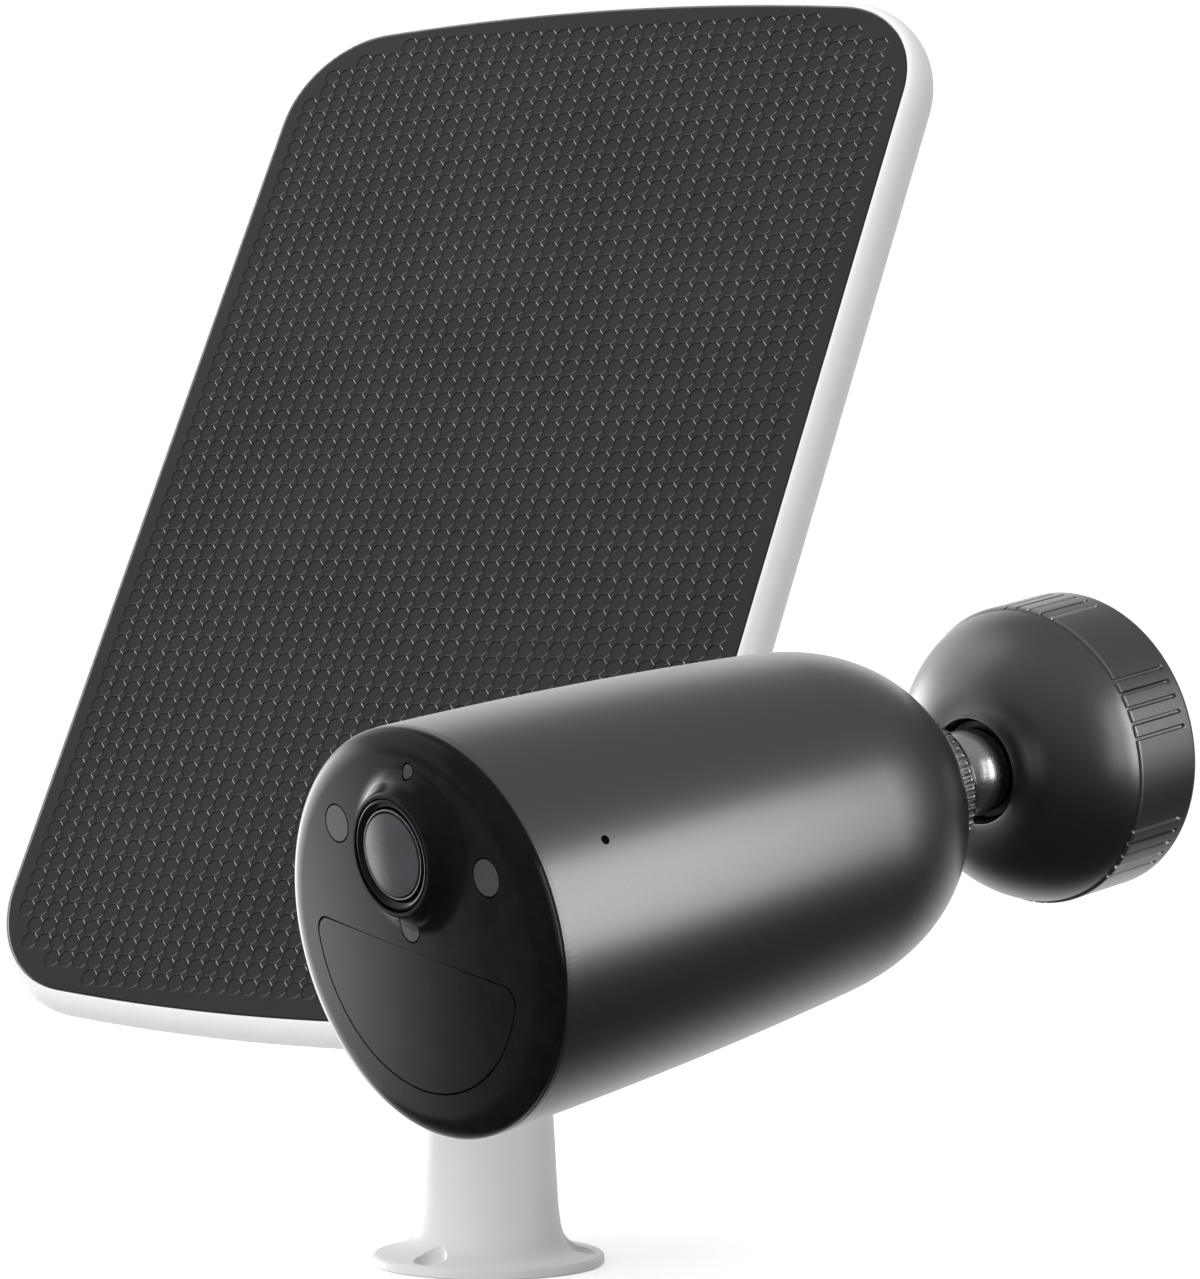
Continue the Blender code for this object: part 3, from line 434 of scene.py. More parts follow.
def body_radius(s):
    """Outer radius of the bullet, s back from the front rim."""
    x = s / BODY_UNIT
    base = BODY_R * (1 - TAPER * x - BOW * x * x)
    if s <= DOME_START:
        return base
    t = min((s - DOME_START) / (TAIL_CLOSES - DOME_START), 1.0)
    return base * (1 - t ** DOME_POWER) ** (1 / DOME_POWER)


def shell_profile():
    end = RIM_H - SHELL.low[2]
    straight = [1.0 * MM + (DOME_START - 1.0 * MM) * i / 30 for i in range(31)]
    dome = [DOME_START + (end - 0.5 * MM - DOME_START) * math.sin(math.radians(90 * i / 40)) for i in range(1, 41)]
    outer = [(body_radius(s), RIM_H - s) for s in straight + dome]
    tail = [(TAIL_HOLE_R + 0.5 * MM, RIM_H - end), (TAIL_HOLE_R, RIM_H - end + 0.3 * MM),
            (TAIL_HOLE_R, RIM_H - end + WALL)]
    inside = [(max(body_radius(s) - WALL, TAIL_HOLE_R), RIM_H - s + 0.01 * MM)
              for s in [end - 2.4 * WALL, 90 * MM, 80 * MM, DOME_START, DOME_START / 2, 6 * MM]]
    lip = [(BODY_R - 1.0 * MM, RIM_H - 6 * MM), (BODY_R - 1.0 * MM, RIM_H - 0.25 * MM),
           (BODY_R - 0.85 * MM, RIM_H - 0.1 * MM), (BODY_R - 0.3 * MM, RIM_H - 0.1 * MM),
           (BODY_R - 0.06 * MM, RIM_H - 0.3 * MM)]
    return outer + tail + inside + lip


PORT = Measure("port_cover", CAMERA)
PORT_ROUND = 2.6 * MM


def rounded_rectangle(low, high, corner, steps=7):
    """Outline with round corners, as (x, y) points, anticlockwise."""
    points = []
    for x, y, start in ((high[0], high[1], 0), (low[0], high[1], 90), (low[0], low[1], 180), (high[0], low[1], 270)):
        centre = (x - corner if x == high[0] else x + corner, y - corner if y == high[1] else y + corner)
        points += arc(centre, corner, start, start + 90, steps)
    return points


def shell_normal(local):
    s = RIM_H - local.z
    if s < 1.2 * MM or local.xy.length < body_radius(s) - 0.05 * MM:
        return None
    step = 0.05 * MM
    slope = (body_radius(s + step) - body_radius(s - step)) / (2 * step)
    radial = Vector((local.x, local.y, 0)).normalized()
    return (radial + Vector((0, 0, slope))).normalized()


def build_shell():
    verts, faces = lathe(shell_profile(), 192)
    shell = add_object("camera_shell_skin", verts, faces, CAMERA, LOOKS["gunmetal"], "camera", "gunmetal",
                       ("camera_shell",), 40)
    grow = 0.35 * MM
    outline = rounded_rectangle((PORT.low[0] - grow, PORT.low[2] - grow), (PORT.high[0] + grow, PORT.high[2] + grow),
                                PORT_ROUND + grow)
    depth = (-BODY_R - 3 * MM, -BODY_R + 13 * MM)
    pocket = rings_mesh([[(x, y, z) for x, z in outline] for y in depth])
    angle = math.radians(MIC_ANGLE)
    mic_place = Vector((math.cos(angle), math.sin(angle), 0)) * (BODY_R - 0.5 * MM)
    mic_turn = Matrix.Rotation(angle, 4, "Z") @ Matrix.Rotation(math.radians(90), 4, "Y")
    mic_verts, mic_faces = lathe([(0, -2 * MM), (0.75 * MM, -2 * MM), (0.75 * MM, 2 * MM), (0, 2 * MM)], 32)
    move = CAMERA @ Matrix.Translation(mic_place + Vector((0, 0, RIM_H - MIC_S))) @ mic_turn
    cut(shell, [cutter("tool_pocket", *pocket, CAMERA), cutter("tool_mic", mic_verts, mic_faces, move)])
    shade_by(shell, CAMERA, shell_normal, 0.85)


MIC_ANGLE = 34.5
MIC_S = 13.4 * MM


def build_port_cover():
    """Rubber flap that follows the shell."""
    low = (PORT.low[0], PORT.low[2])
    high = (PORT.high[0], PORT.high[2])
    middle = ((low[0] + high[0]) / 2, (low[1] + high[1]) / 2)
    outline = rounded_rectangle(low, high, PORT_ROUND)

    def level(scale, sink):
        ring = []
        for x, z in outline:
            px = middle[0] + (x - middle[0]) * scale
            pz = middle[1] + (z - middle[1]) * scale
            radius = body_radius(RIM_H - pz) - sink
            ring.append((px, -math.sqrt(radius ** 2 - px ** 2), pz))
        return ring

    rings = [level(k / 10, 0.0) for k in range(1, 10)] + [level(0.985, 0.02 * MM), level(1.0, 0.3 * MM)]
    rings += [level(1.0, 1.5 * MM), level(0.5, 1.5 * MM), level(0.05, 1.5 * MM)]
    verts, faces = rings_mesh(rings)
    add_object("port_cover_flap", verts, faces, CAMERA, LOOKS["rubber"], "port_cover", "rubber", ("port_cover",))


# ---------------------------------------------------------------- camera front
FACE_H = PIR.high[2] - RIM_H
BOSS_H = COVER.high[2] - RIM_H
EDGE_R = BODY_R - 0.06 * MM
FLAT_R = EDGE_R - 4.3 * MM
CROWN = 1.0 * MM            # the front is slightly domed
LENS_Y = LENS.mid[1]
BORE_R = LENS.radius + 0.3 * MM
BOSS_TOP_R = BORE_R + 0.75 * MM
FLARE_R = BORE_R + 5.2 * MM
FLARE_POWER = 3.6
EDGE_H = 0.35 * MM


def face_height(x, y):
    """Height of the glossy front ahead of the rim: flat, rolled over at the edge, flared up to the lens."""
    r = math.hypot(x, y)
    base = FACE_H - CROWN * (r / EDGE_R) ** 2
    if r > FLAT_R:
        t = min((r - FLAT_R) / (EDGE_R - FLAT_R), 1.0)
        base -= (FACE_H - CROWN - EDGE_H) * (1 - math.sqrt(max(0.0, 1 - t ** 2.3)))
    p = math.hypot(x, y - LENS_Y)
    if p >= FLARE_R:
        return base
    t = max(0.0, (p - BOSS_TOP_R) / (FLARE_R - BOSS_TOP_R))
    rise = (BOSS_H - FACE_H) * (1 - t) ** FLARE_POWER
    return base + rise


def face_normal(local):
    """Outward normal of the front where a point lies on its surface."""
    here = face_height(local.x, local.y)
    if abs(local.z - RIM_H - here) > 0.06 * MM or math.hypot(local.x, local.y) > EDGE_R - 0.02 * MM:
        return None
    step = 0.03 * MM
    dx = (face_height(local.x + step, local.y) - face_height(local.x - step, local.y)) / (2 * step)
    dy = (face_height(local.x, local.y + step) - face_height(local.x, local.y - step)) / (2 * step)
    return Vector((-dx, -dy, 1)).normalized()


def face_ring(radius, count, height=None):
    """Ring of the front: round the lens when small, round the face when large."""
    start = BORE_R + 4.2 * MM
    blend = min(max((radius - start) / (FLAT_R - start), 0.0), 1.0)
    cy = LENS_Y * (1 - blend)
    ring = []
    for i in range(count):
        a = 2 * math.pi * i / count
        x = radius * math.cos(a)
        y = cy + radius * math.sin(a)
        h = face_height(x, y) if height is None else height
        ring.append((x, y, RIM_H + h))
    return ring


PIR_TOP = PIR.high[1]
PIR_R = PIR.high[0] + 0.75 * MM


def pir_outline(shrink):
    """Segment of a disc with a straight top and round corners."""
    radius = PIR_ARC_R - shrink
    top = PIR_TOP - shrink
    corner = 2.6 * MM
    cy = top - corner
    cx = math.sqrt((radius - corner) ** 2 - cy ** 2)
    lean = math.degrees(math.atan2(cy, cx))
    right = arc((cx, cy), corner, 90, lean, 9)
    sweep = arc((0, 0), radius, lean, -180 - lean, 61)[1:-1]
    left = arc((-cx, cy), corner, 180 - lean, 90, 9)
    return right + sweep + left


PIR_ARC_R = -PIR.low[1]
SEAM = 0.26 * MM


def window_list():
    names = ("ir_window_left", "ir_window_right", "light_sensor_window", "status_window")
    return [(name, Measure(name, CAMERA)) for name in names]


def build_front():
    count = 224
    steps = 54
    radii = [BORE_R + (EDGE_R - BORE_R) * (i / steps) for i in range(steps)]
    radii += [EDGE_R - (EDGE_R - FLAT_R) * (1 - math.sin(math.radians(90 * i / 14))) * 0.35 for i in range(4, 15)]
    radii = sorted(set(radii))
    rings = [face_ring(r, count) for r in radii]
    rings += [face_ring(EDGE_R, count, 0.15 * MM), face_ring(EDGE_R - 0.12 * MM, count, 0.05 * MM)]
    rings += [face_ring(BODY_R - 1.15 * MM, count, 0.05 * MM), face_ring(BODY_R - 1.15 * MM, count, -2.8 * MM)]
    rings += [face_ring(BODY_R - 3.8 * MM, count, -2.8 * MM), face_ring(BODY_R - 4.0 * MM, count, 0.6 * MM)]
    rings += [face_ring(r, count, 1.4 * MM) for r in (24 * MM, 18 * MM, 13 * MM, BORE_R)]
    verts, faces = rings_mesh(rings, closed=True)
    front = add_object("front_cover_skin", verts, faces, CAMERA, LOOKS["gloss_black"], "camera", "gloss_black",
                       ("front_cover",), 40)
    tools = []
    for name, size in window_list():
        column = [(0, RIM_H - 1 * MM), (size.radius + SEAM, RIM_H - 1 * MM), (size.radius + SEAM, RIM_H + 12 * MM),
                  (0, RIM_H + 12 * MM)]
        tools.append(cutter("tool_" + name, *lathe(column, 56, (size.mid[0], size.mid[1])), CAMERA))
    prism = rings_mesh([[(x, y, RIM_H + h) for x, y in pir_outline(-SEAM)] for h in (-1 * MM, 12 * MM)])
    tools.append(cutter("tool_pir", *prism, CAMERA))
    cut(front, tools)
    shade_by(front, CAMERA, face_normal, 0.8)


def flush_window(name, outline, centre, look, slot, node, sink=0.0):
    """A window whose face follows the front's own surface."""
    def level(scale, lower, flat=None):
        ring = []
        for x, y in outline:
            px = centre[0] + (x - centre[0]) * scale
            py = centre[1] + (y - centre[1]) * scale
            h = (face_height(px, py) - lower) if flat is None else flat
            ring.append((px, py, RIM_H + h))
        return ring

    scales = [0.02] + [k / 12 for k in range(1, 12)]
    rings = [level(s, sink) for s in scales] + [level(0.996, sink), level(1.0, sink + 0.05 * MM)]
    rings += [level(1.0, 0, 1.6 * MM), level(0.02, 0, 1.6 * MM)]
    verts, faces = rings_mesh(rings)
    pane = add_object(name, verts, faces, CAMERA, look, "camera", slot, (node,), 40)
    shade_by(pane, CAMERA, face_normal, 0.8)


def build_windows():
    for name, size in window_list():
        ring = arc((size.mid[0], size.mid[1]), size.radius, 0, 360 - 360 / 48, 48)
        flush_window(name + "_pane", ring, (size.mid[0], size.mid[1]), LOOKS["smoked_window"], "smoked_window", name)
    centre = (0, (PIR.low[1] + PIR.high[1]) / 2)
    flush_window("pir_window_pane", pir_outline(0.0), centre, LOOKS["gloss_black"], "gloss_black", "pir_window")


def build_lens():
    """Trim ring, bevelled barrel and the domed front element, which stands just proud of them."""
    top = RIM_H + face_height(0, LENS_Y + BORE_R)
    centre = (LENS.mid[0], LENS.mid[1])
    outer = LENS.radius + 0.15 * MM
    barrel_r = Measure("lens_barrel", CAMERA).radius
    size = Measure("lens_glass", CAMERA)
    inner = barrel_r + 0.15 * MM
    ring = rounded([(inner, top - 6 * MM), (outer, top - 6 * MM), (outer, top - 0.1 * MM),
                    (outer - 0.5 * MM, top + 0.15 * MM), (inner + 0.45 * MM, top - 0.15 * MM),
                    (inner, top - 0.55 * MM), (inner, top - 5.9 * MM)], 0.25 * MM)
    add_object("lens_ring_trim", *lathe(ring, 128, centre), CAMERA, LOOKS["gloss_black"], "camera", "matte_black",
               ("lens_ring",), 50)
    glass_r = size.radius + 0.75 * MM
    seat = glass_r + 0.08 * MM
    barrel = rounded([(size.radius - 1.6 * MM, top - 15 * MM), (barrel_r, top - 15 * MM), (barrel_r, top - 0.5 * MM),
                      (barrel_r - 0.12 * MM, top - 0.22 * MM), (seat + 0.22 * MM, top - 0.22 * MM),
                      (seat, top - 0.5 * MM), (seat, top - 3.6 * MM),
                      (size.radius - 1.6 * MM, top - 4.0 * MM)], 0.12 * MM)
    add_object("lens_barrel_trim", *lathe(barrel, 128, centre), CAMERA, BARREL, "camera", "matte_black",
               ("lens_barrel",), 50)
    curve = 24 * MM
    crown = size.high[2] - 0.15 * MM
    half = math.degrees(math.asin(glass_r / curve))
    dome = arc((0, crown - curve), curve, 90, 90 - half, 20)
    low = dome[-1][1]
    glass = [(0, crown)] + dome[1:] + [(glass_r, low - 1.4 * MM), (0, low - 1.4 * MM)]
    add_object("lens_front_element", *lathe(glass, 96, centre), CAMERA, LOOKS["lens_glass"], "camera", "lens_glass",
               ("lens_glass",), 40)


BARREL = metal("barrel_satin", (0.16, 0.16, 0.165), 0.30)


# ---------------------------------------------------------------- tail, nut and ball
def build_nut():
    """Knurled lock nut: straight teeth with flat tops, then a smooth cone towards the ball."""
    size = Measure("lock_nut", CAMERA)
    per = 8
    count = NUT_TEETH * per
    tooth = (0, 0, 0, 0.25, 0.9, 1, 1, 0.9)

    def ring(radius, h, depth):
        points = []
        for i in range(count):
            a = 2 * math.pi * i / count
            r = radius - depth * tooth[i % per]
            points.append((r * math.cos(a), r * math.sin(a), h))
        return points

    outer = size.radius
    front, back = size.high[2], size.low[2]
    edge = back + NUT_CONE
    bore = 3.3 * MM
    rings = [ring(bore, front, 0), ring(outer - 0.9 * MM, front, 0), ring(outer - 0.2 * MM, front - 0.05 * MM, TOOTH),
             ring(outer, front - 0.2 * MM, TOOTH), ring(outer, edge + 0.2 * MM, TOOTH),
             ring(outer - 0.08 * MM, edge + 0.05 * MM, TOOTH), ring(outer - 0.65 * MM, edge - 0.1 * MM, 0),
             ring(NUT_FACE_R + 0.5 * MM, back + 0.7 * MM, 0), ring(NUT_FACE_R, back + 0.12 * MM, 0),
             ring(NUT_FACE_R - 0.2 * MM, back, 0), ring(NUT_FACE_R - 1.0 * MM, back, 0),
             ring(bore, edge - 0.3 * MM, 0)]
    nut = add_object("lock_nut_knurled", *rings_mesh(rings, closed=True), CAMERA, LOOKS["steel"], "lock_nut", "steel",
                     ("lock_nut",), 30)
    nut.data.materials.append(LOOKS["matte_black"])
    back_side = CAMERA.inverted()
    for face in nut.data.polygons:
        spot = back_side @ face.center
        if spot.xy.length < NUT_FACE_R - 0.8 * MM and spot.z < edge:
            face.material_index = 1


NUT_TEETH = 54
TOOTH = 0.62 * MM
NUT_CONE = 2.5 * MM
NUT_FACE_R = 10.0 * MM


def build_tail_plug():
    size = Measure("tail_plug", CAMERA)
    low, high = size.low[2], size.high[2]
    bore = 4.6 * MM
    profile = rounded([(bore, high), (bore, low), (size.radius, low), (size.radius, high), (bore, high)], 0.3 * MM)
    add_object("tail_plug_ring", *lathe(profile[1:-1], 96), CAMERA, LOOKS["matte_black"], "camera", "matte_black",
               ("tail_plug",), 40)


def stud_profile(ball_r, stud_r, length):
    start = math.degrees(math.asin(stud_r / ball_r))
    ball = arc((0, 0), ball_r, 90 - start, -90, 40)
    ball[-1] = (0, -ball_r)
    neck = [(0, length), (stud_r - 0.5 * MM, length), (stud_r, length - 0.5 * MM), (stud_r, ball[0][1] + 0.8 * MM)]
    return neck + ball


def build_studs():
    size = Measure("ball_stud", CAMERA)
    verts, faces = lathe(stud_profile(size.radius, 3.0 * MM, size.high[2]), 96)
    add_object("ball_stud_polished", verts, faces, CAMERA, LOOKS["chrome"], "ball_stud", "chrome", ("ball_stud",), 50)
    size = Measure("panel_stud", PANEL)
    verts, faces = lathe(stud_profile(size.radius, 3.0 * MM, size.high[2]), 96)
    add_object("panel_stud_polished", verts, faces, PANEL, LOOKS["steel"], "panel_stud", "steel", ("panel_stud",), 50)


# ---------------------------------------------------------------- ball mount
CAP = Measure("mount_cap", MOUNT)
CAP_R = CAP.radius
CAP_BACK = CAP.low[2]
CAP_LIP = CAP.high[2]
COLLAR_TOP = CAP_BACK + 14.65 * MM
LIP_R = 9.5 * MM
CAP_POWER = 1.35            # exponents of the dome, along its axis and across it
CAP_ROUND = 2.3
CAP_SHOULDER = CAP_R - 0.45 * MM
GRIP_GROUPS = 6
GRIP_RIBS = 5
GRIP_FIRST = 20.0
GRIP_STEP = 5.9
GRIP_HALF = 0.36 * MM
GRIP_DEPTH = 0.55 * MM


def grip_angles():
    return [GRIP_FIRST + 60 * g + GRIP_STEP * (k - (GRIP_RIBS - 1) / 2) for g in range(GRIP_GROUPS) for k in range(GRIP_RIBS)]


def cap_columns():
    """Angles round the cap, close together only where the grooves are."""
    fine = 0.30
    reach = GRIP_STEP * (GRIP_RIBS - 1) / 2 + 2.0
    angles = []
    for g in range(GRIP_GROUPS):
        centre = GRIP_FIRST + 60 * g
        count = int(2 * reach / fine)
        angles += [centre - reach + 2 * reach * i / count for i in range(count + 1)]
        gap_start = centre + reach
        gap = 60 - 2 * reach
        steps = int(gap / 2.2)
        angles += [gap_start + gap * i / steps for i in range(1, steps)]
    return angles


def groove_depth(angle, h):
    """How deep the nearest grip groove is at this point of the collar; its ends are round."""
    low = CAP_BACK + 2.7 * MM
    high = COLLAR_TOP + 0.6 * MM
    best = 1.0
    for centre in GRIPS:
        across = math.radians((angle - centre + 180) % 360 - 180) * CAP_R
        if abs(across) > 2 * GRIP_HALF:
            continue
        along = max(low - h, 0.0, h - high)
        best = min(best, math.hypot(across, along) / GRIP_HALF)
    if best >= 1.0:
        return 0.0
    return GRIP_DEPTH * (1 - best ** 2) ** 0.5


GRIPS = grip_angles()


def build_cap():
    """Dome and collar in one turned piece, its edge rounded and its collar grooved for grip; its edge and mouth carry a
    painted highlight line.
    """
    length = CAP_LIP - COLLAR_TOP
    outer = [(8.8 * MM, -3.9 * MM), (8.8 * MM, -2.3 * MM), (9.1 * MM, CAP_LIP - 0.45 * MM),
             (9.2 * MM, CAP_LIP - 0.14 * MM), (9.3 * MM, CAP_LIP - 0.03 * MM), (9.4 * MM, CAP_LIP)]
    for i in range(1, 34):
        t = math.sin(math.radians(90 - 90 * i / 33))
        dome = (1 - t ** CAP_POWER) ** (1 / CAP_ROUND)
        outer.append((LIP_R + (CAP_SHOULDER - LIP_R) * dome, COLLAR_TOP + length * t))
    edge = CAP_R - CAP_SHOULDER
    outer += [(CAP_SHOULDER + edge * math.sin(math.radians(a)), COLLAR_TOP - edge * (1 - math.cos(math.radians(a))))
              for a in range(15, 91, 15)]
    start = COLLAR_TOP - edge - 0.1 * MM
    outer += [(CAP_R, start + (CAP_BACK + 0.6 * MM - start) * i / 44) for i in range(45)]
    outer += [(CAP_R - 0.2 * MM, CAP_BACK + 0.2 * MM), (CAP_R - 0.5 * MM, CAP_BACK)]
    inner = [(CAP_R - 1.9 * MM, CAP_BACK), (CAP_R - 1.9 * MM, COLLAR_TOP - 2 * MM), (19.3 * MM, -9.6 * MM),
             (13.4 * MM, -6.6 * MM), (11.15 * MM, -6.6 * MM), (11.15 * MM, -4.65 * MM)]
    columns = cap_columns()
    rings = []
    for r, h in outer:
        room = max(r - CAP_SHOULDER, 0.0)
        ring = []
        for angle in columns:
            depth = min(groove_depth(angle, h), room) if room else 0.0
            a = math.radians(angle)
            ring.append(((r - depth) * math.cos(a), (r - depth) * math.sin(a), h))
        rings.append(ring)
    for r, h in inner:
        rings.append([(r * math.cos(math.radians(a)), r * math.sin(math.radians(a)), h) for a in columns])
    cap = add_object("mount_cap_ribbed", *rings_mesh(rings, closed=True), MOUNT, LOOKS["gunmetal"], "mount_cap",
                     "gunmetal", ("mount_cap",), 34)
    # The rounded edge and the mouth's lip get a lighter metal: a painted highlight line.
    cap.data.materials.append(PAINTED_EDGE_HIGHLIGHT)
    back = MOUNT.inverted()
    for face in cap.data.polygons:
        spot = back @ face.center
        on_edge = spot.xy.length > CAP_SHOULDER + 0.02 * MM and abs(spot.z - COLLAR_TOP + edge / 2) < 0.6 * edge
        on_mouth = LIP_R - 0.3 * MM < spot.xy.length < LIP_R and abs(spot.z - CAP_LIP) < 0.1 * MM
        if on_edge or on_mouth:
            face.material_index = 1


# Lighter, rougher metal for the cap's edge and mouth: a painted highlight line.
PAINTED_EDGE_HIGHLIGHT = metal("painted_edge_highlight", (0.42, 0.42, 0.425), 0.42)


def build_base():
    size = Measure("mount_base", MOUNT)
    outer = size.radius
    back = size.low[2]
    floor = back + 3.5 * MM
    profile = [(0, back + 0.6 * MM), (8 * MM, back + 0.6 * MM), (8.4 * MM, back), (outer - 0.4 * MM, back),
               (outer, back + 0.4 * MM), (outer, -17.9 * MM), (outer - 0.4 * MM, -17.5 * MM), (20.5 * MM, -17.5 * MM),
               (20.5 * MM, floor), (10.8 * MM, floor), (10.8 * MM, -6.8 * MM), (7.5 * MM, -6.6 * MM),
               (6.0 * MM, -8.3 * MM), (0, -8.3 * MM)]
    base = add_object("mount_base_moulding", *lathe(profile, 128), MOUNT, LOOKS["matte_black"], "stand",
                      "matte_black", ("mount_base",), 30)
    tools = []
    for i in range(3):
        a = math.radians(90 + 120 * i)
        hole = [(0, back - 2 * MM), (2.1 * MM, back - 2 * MM), (2.1 * MM, back + 2.4 * MM), (3.9 * MM, back + 4.2 * MM),
                (3.9 * MM, back + 9 * MM), (0, back + 9 * MM)]
        centre = (15.6 * MM * math.cos(a), 15.6 * MM * math.sin(a))
        tools.append(cutter("tool_base_hole", *lathe(hole, 40, centre), MOUNT))
    cut(base, tools)


def build_liner():
    """Dark cup that the ball turns in, with a fine round edge at its mouth."""
    size = Measure("ball_liner", MOUNT)
    ball_r = Measure("ball_stud", CAMERA).radius + 0.28 * MM
    low, high, outer = size.low[2], size.high[2], size.radius
    cup = arc((0, 0), ball_r, -50, -25.5, 16)
    profile = [(8.3 * MM, high), (8.5 * MM, high - 0.2 * MM), (8.5 * MM, -4.3 * MM), (outer, -4.95 * MM), (outer, low),
               (cup[0][0], low)] + cup + [(cup[-1][0] + 0.08 * MM, high - 0.1 * MM), (cup[-1][0] + 0.3 * MM, high)]
    add_object("ball_liner_ring", *lathe(profile, 96), MOUNT, LOOKS["nylon"], "ball_liner", "nylon", ("ball_liner",), 40)


# ---------------------------------------------------------------- solar panel
LAMINATE = Measure("solar_laminate", PANEL)
RIM = Measure("panel_frame", PANEL)
FACE_P = LAMINATE.high[2]
PANEL_MID = LAMINATE.mid[1]
HALF_W = (LAMINATE.high[0] - LAMINATE.low[0]) / 2
HALF_H = (LAMINATE.high[1] - LAMINATE.low[1]) / 2
CORNER = 22 * MM
SAG = 5.2 * MM
CELL = 3.6 * MM
COLUMNS = 41
ROWS = 63
CELL_DEPTH = 0.22 * MM
WALL_LOWER = 0.42 * MM
WALL_LEFT = 0.34 * MM
WALL_OTHER = 0.14 * MM
EDGE_BAND = 1.6 * MM


def panel_outline(grow, per_corner=20, per_bow=40):
    """Rounded rectangle with bowed ends, grown outwards, round the panel's middle."""
    half_w = HALF_W + grow
    half_h = HALF_H + grow
    bow = HALF_W ** 2 / (2 * SAG) + grow
    corner = CORNER + grow
    cx = half_w - corner
    bow_y = half_h - bow
    cy = bow_y + math.sqrt((bow - corner) ** 2 - cx ** 2)
    lean = math.degrees(math.atan2(cy - bow_y, cx))
    right = arc((cx, cy), corner, 0, lean, per_corner)
    top = arc((0, bow_y), bow, lean, 180 - lean, per_bow)[1:-1]
    left = [(-x, y) for x, y in reversed(right)]
    upper = right + top + left
    return upper + [(-x, -y) for x, y in upper]


def inside(outline, x, y):
    found = False
    for (ax, ay), (bx, by) in zip(outline, outline[1:] + outline[:1]):
        if (ay > y) != (by > y) and x < (bx - ax) * (y - ay) / (by - ay) + ax:
            found = not found
    return found


def cell_set():
    """Whole cells that keep a plain band to the edge."""
    limit = panel_outline(-EDGE_BAND, 8, 12)
    cells = set()
    for i in range(COLUMNS):
        for j in range(ROWS):
            x0 = (i - COLUMNS / 2) * CELL
            y0 = (j - ROWS / 2) * CELL
            corners = [(x0, y0), (x0 + CELL, y0), (x0, y0 + CELL), (x0 + CELL, y0 + CELL)]
            if all(inside(limit, x, y) for x, y in corners):
                cells.add((i, j))
    return cells


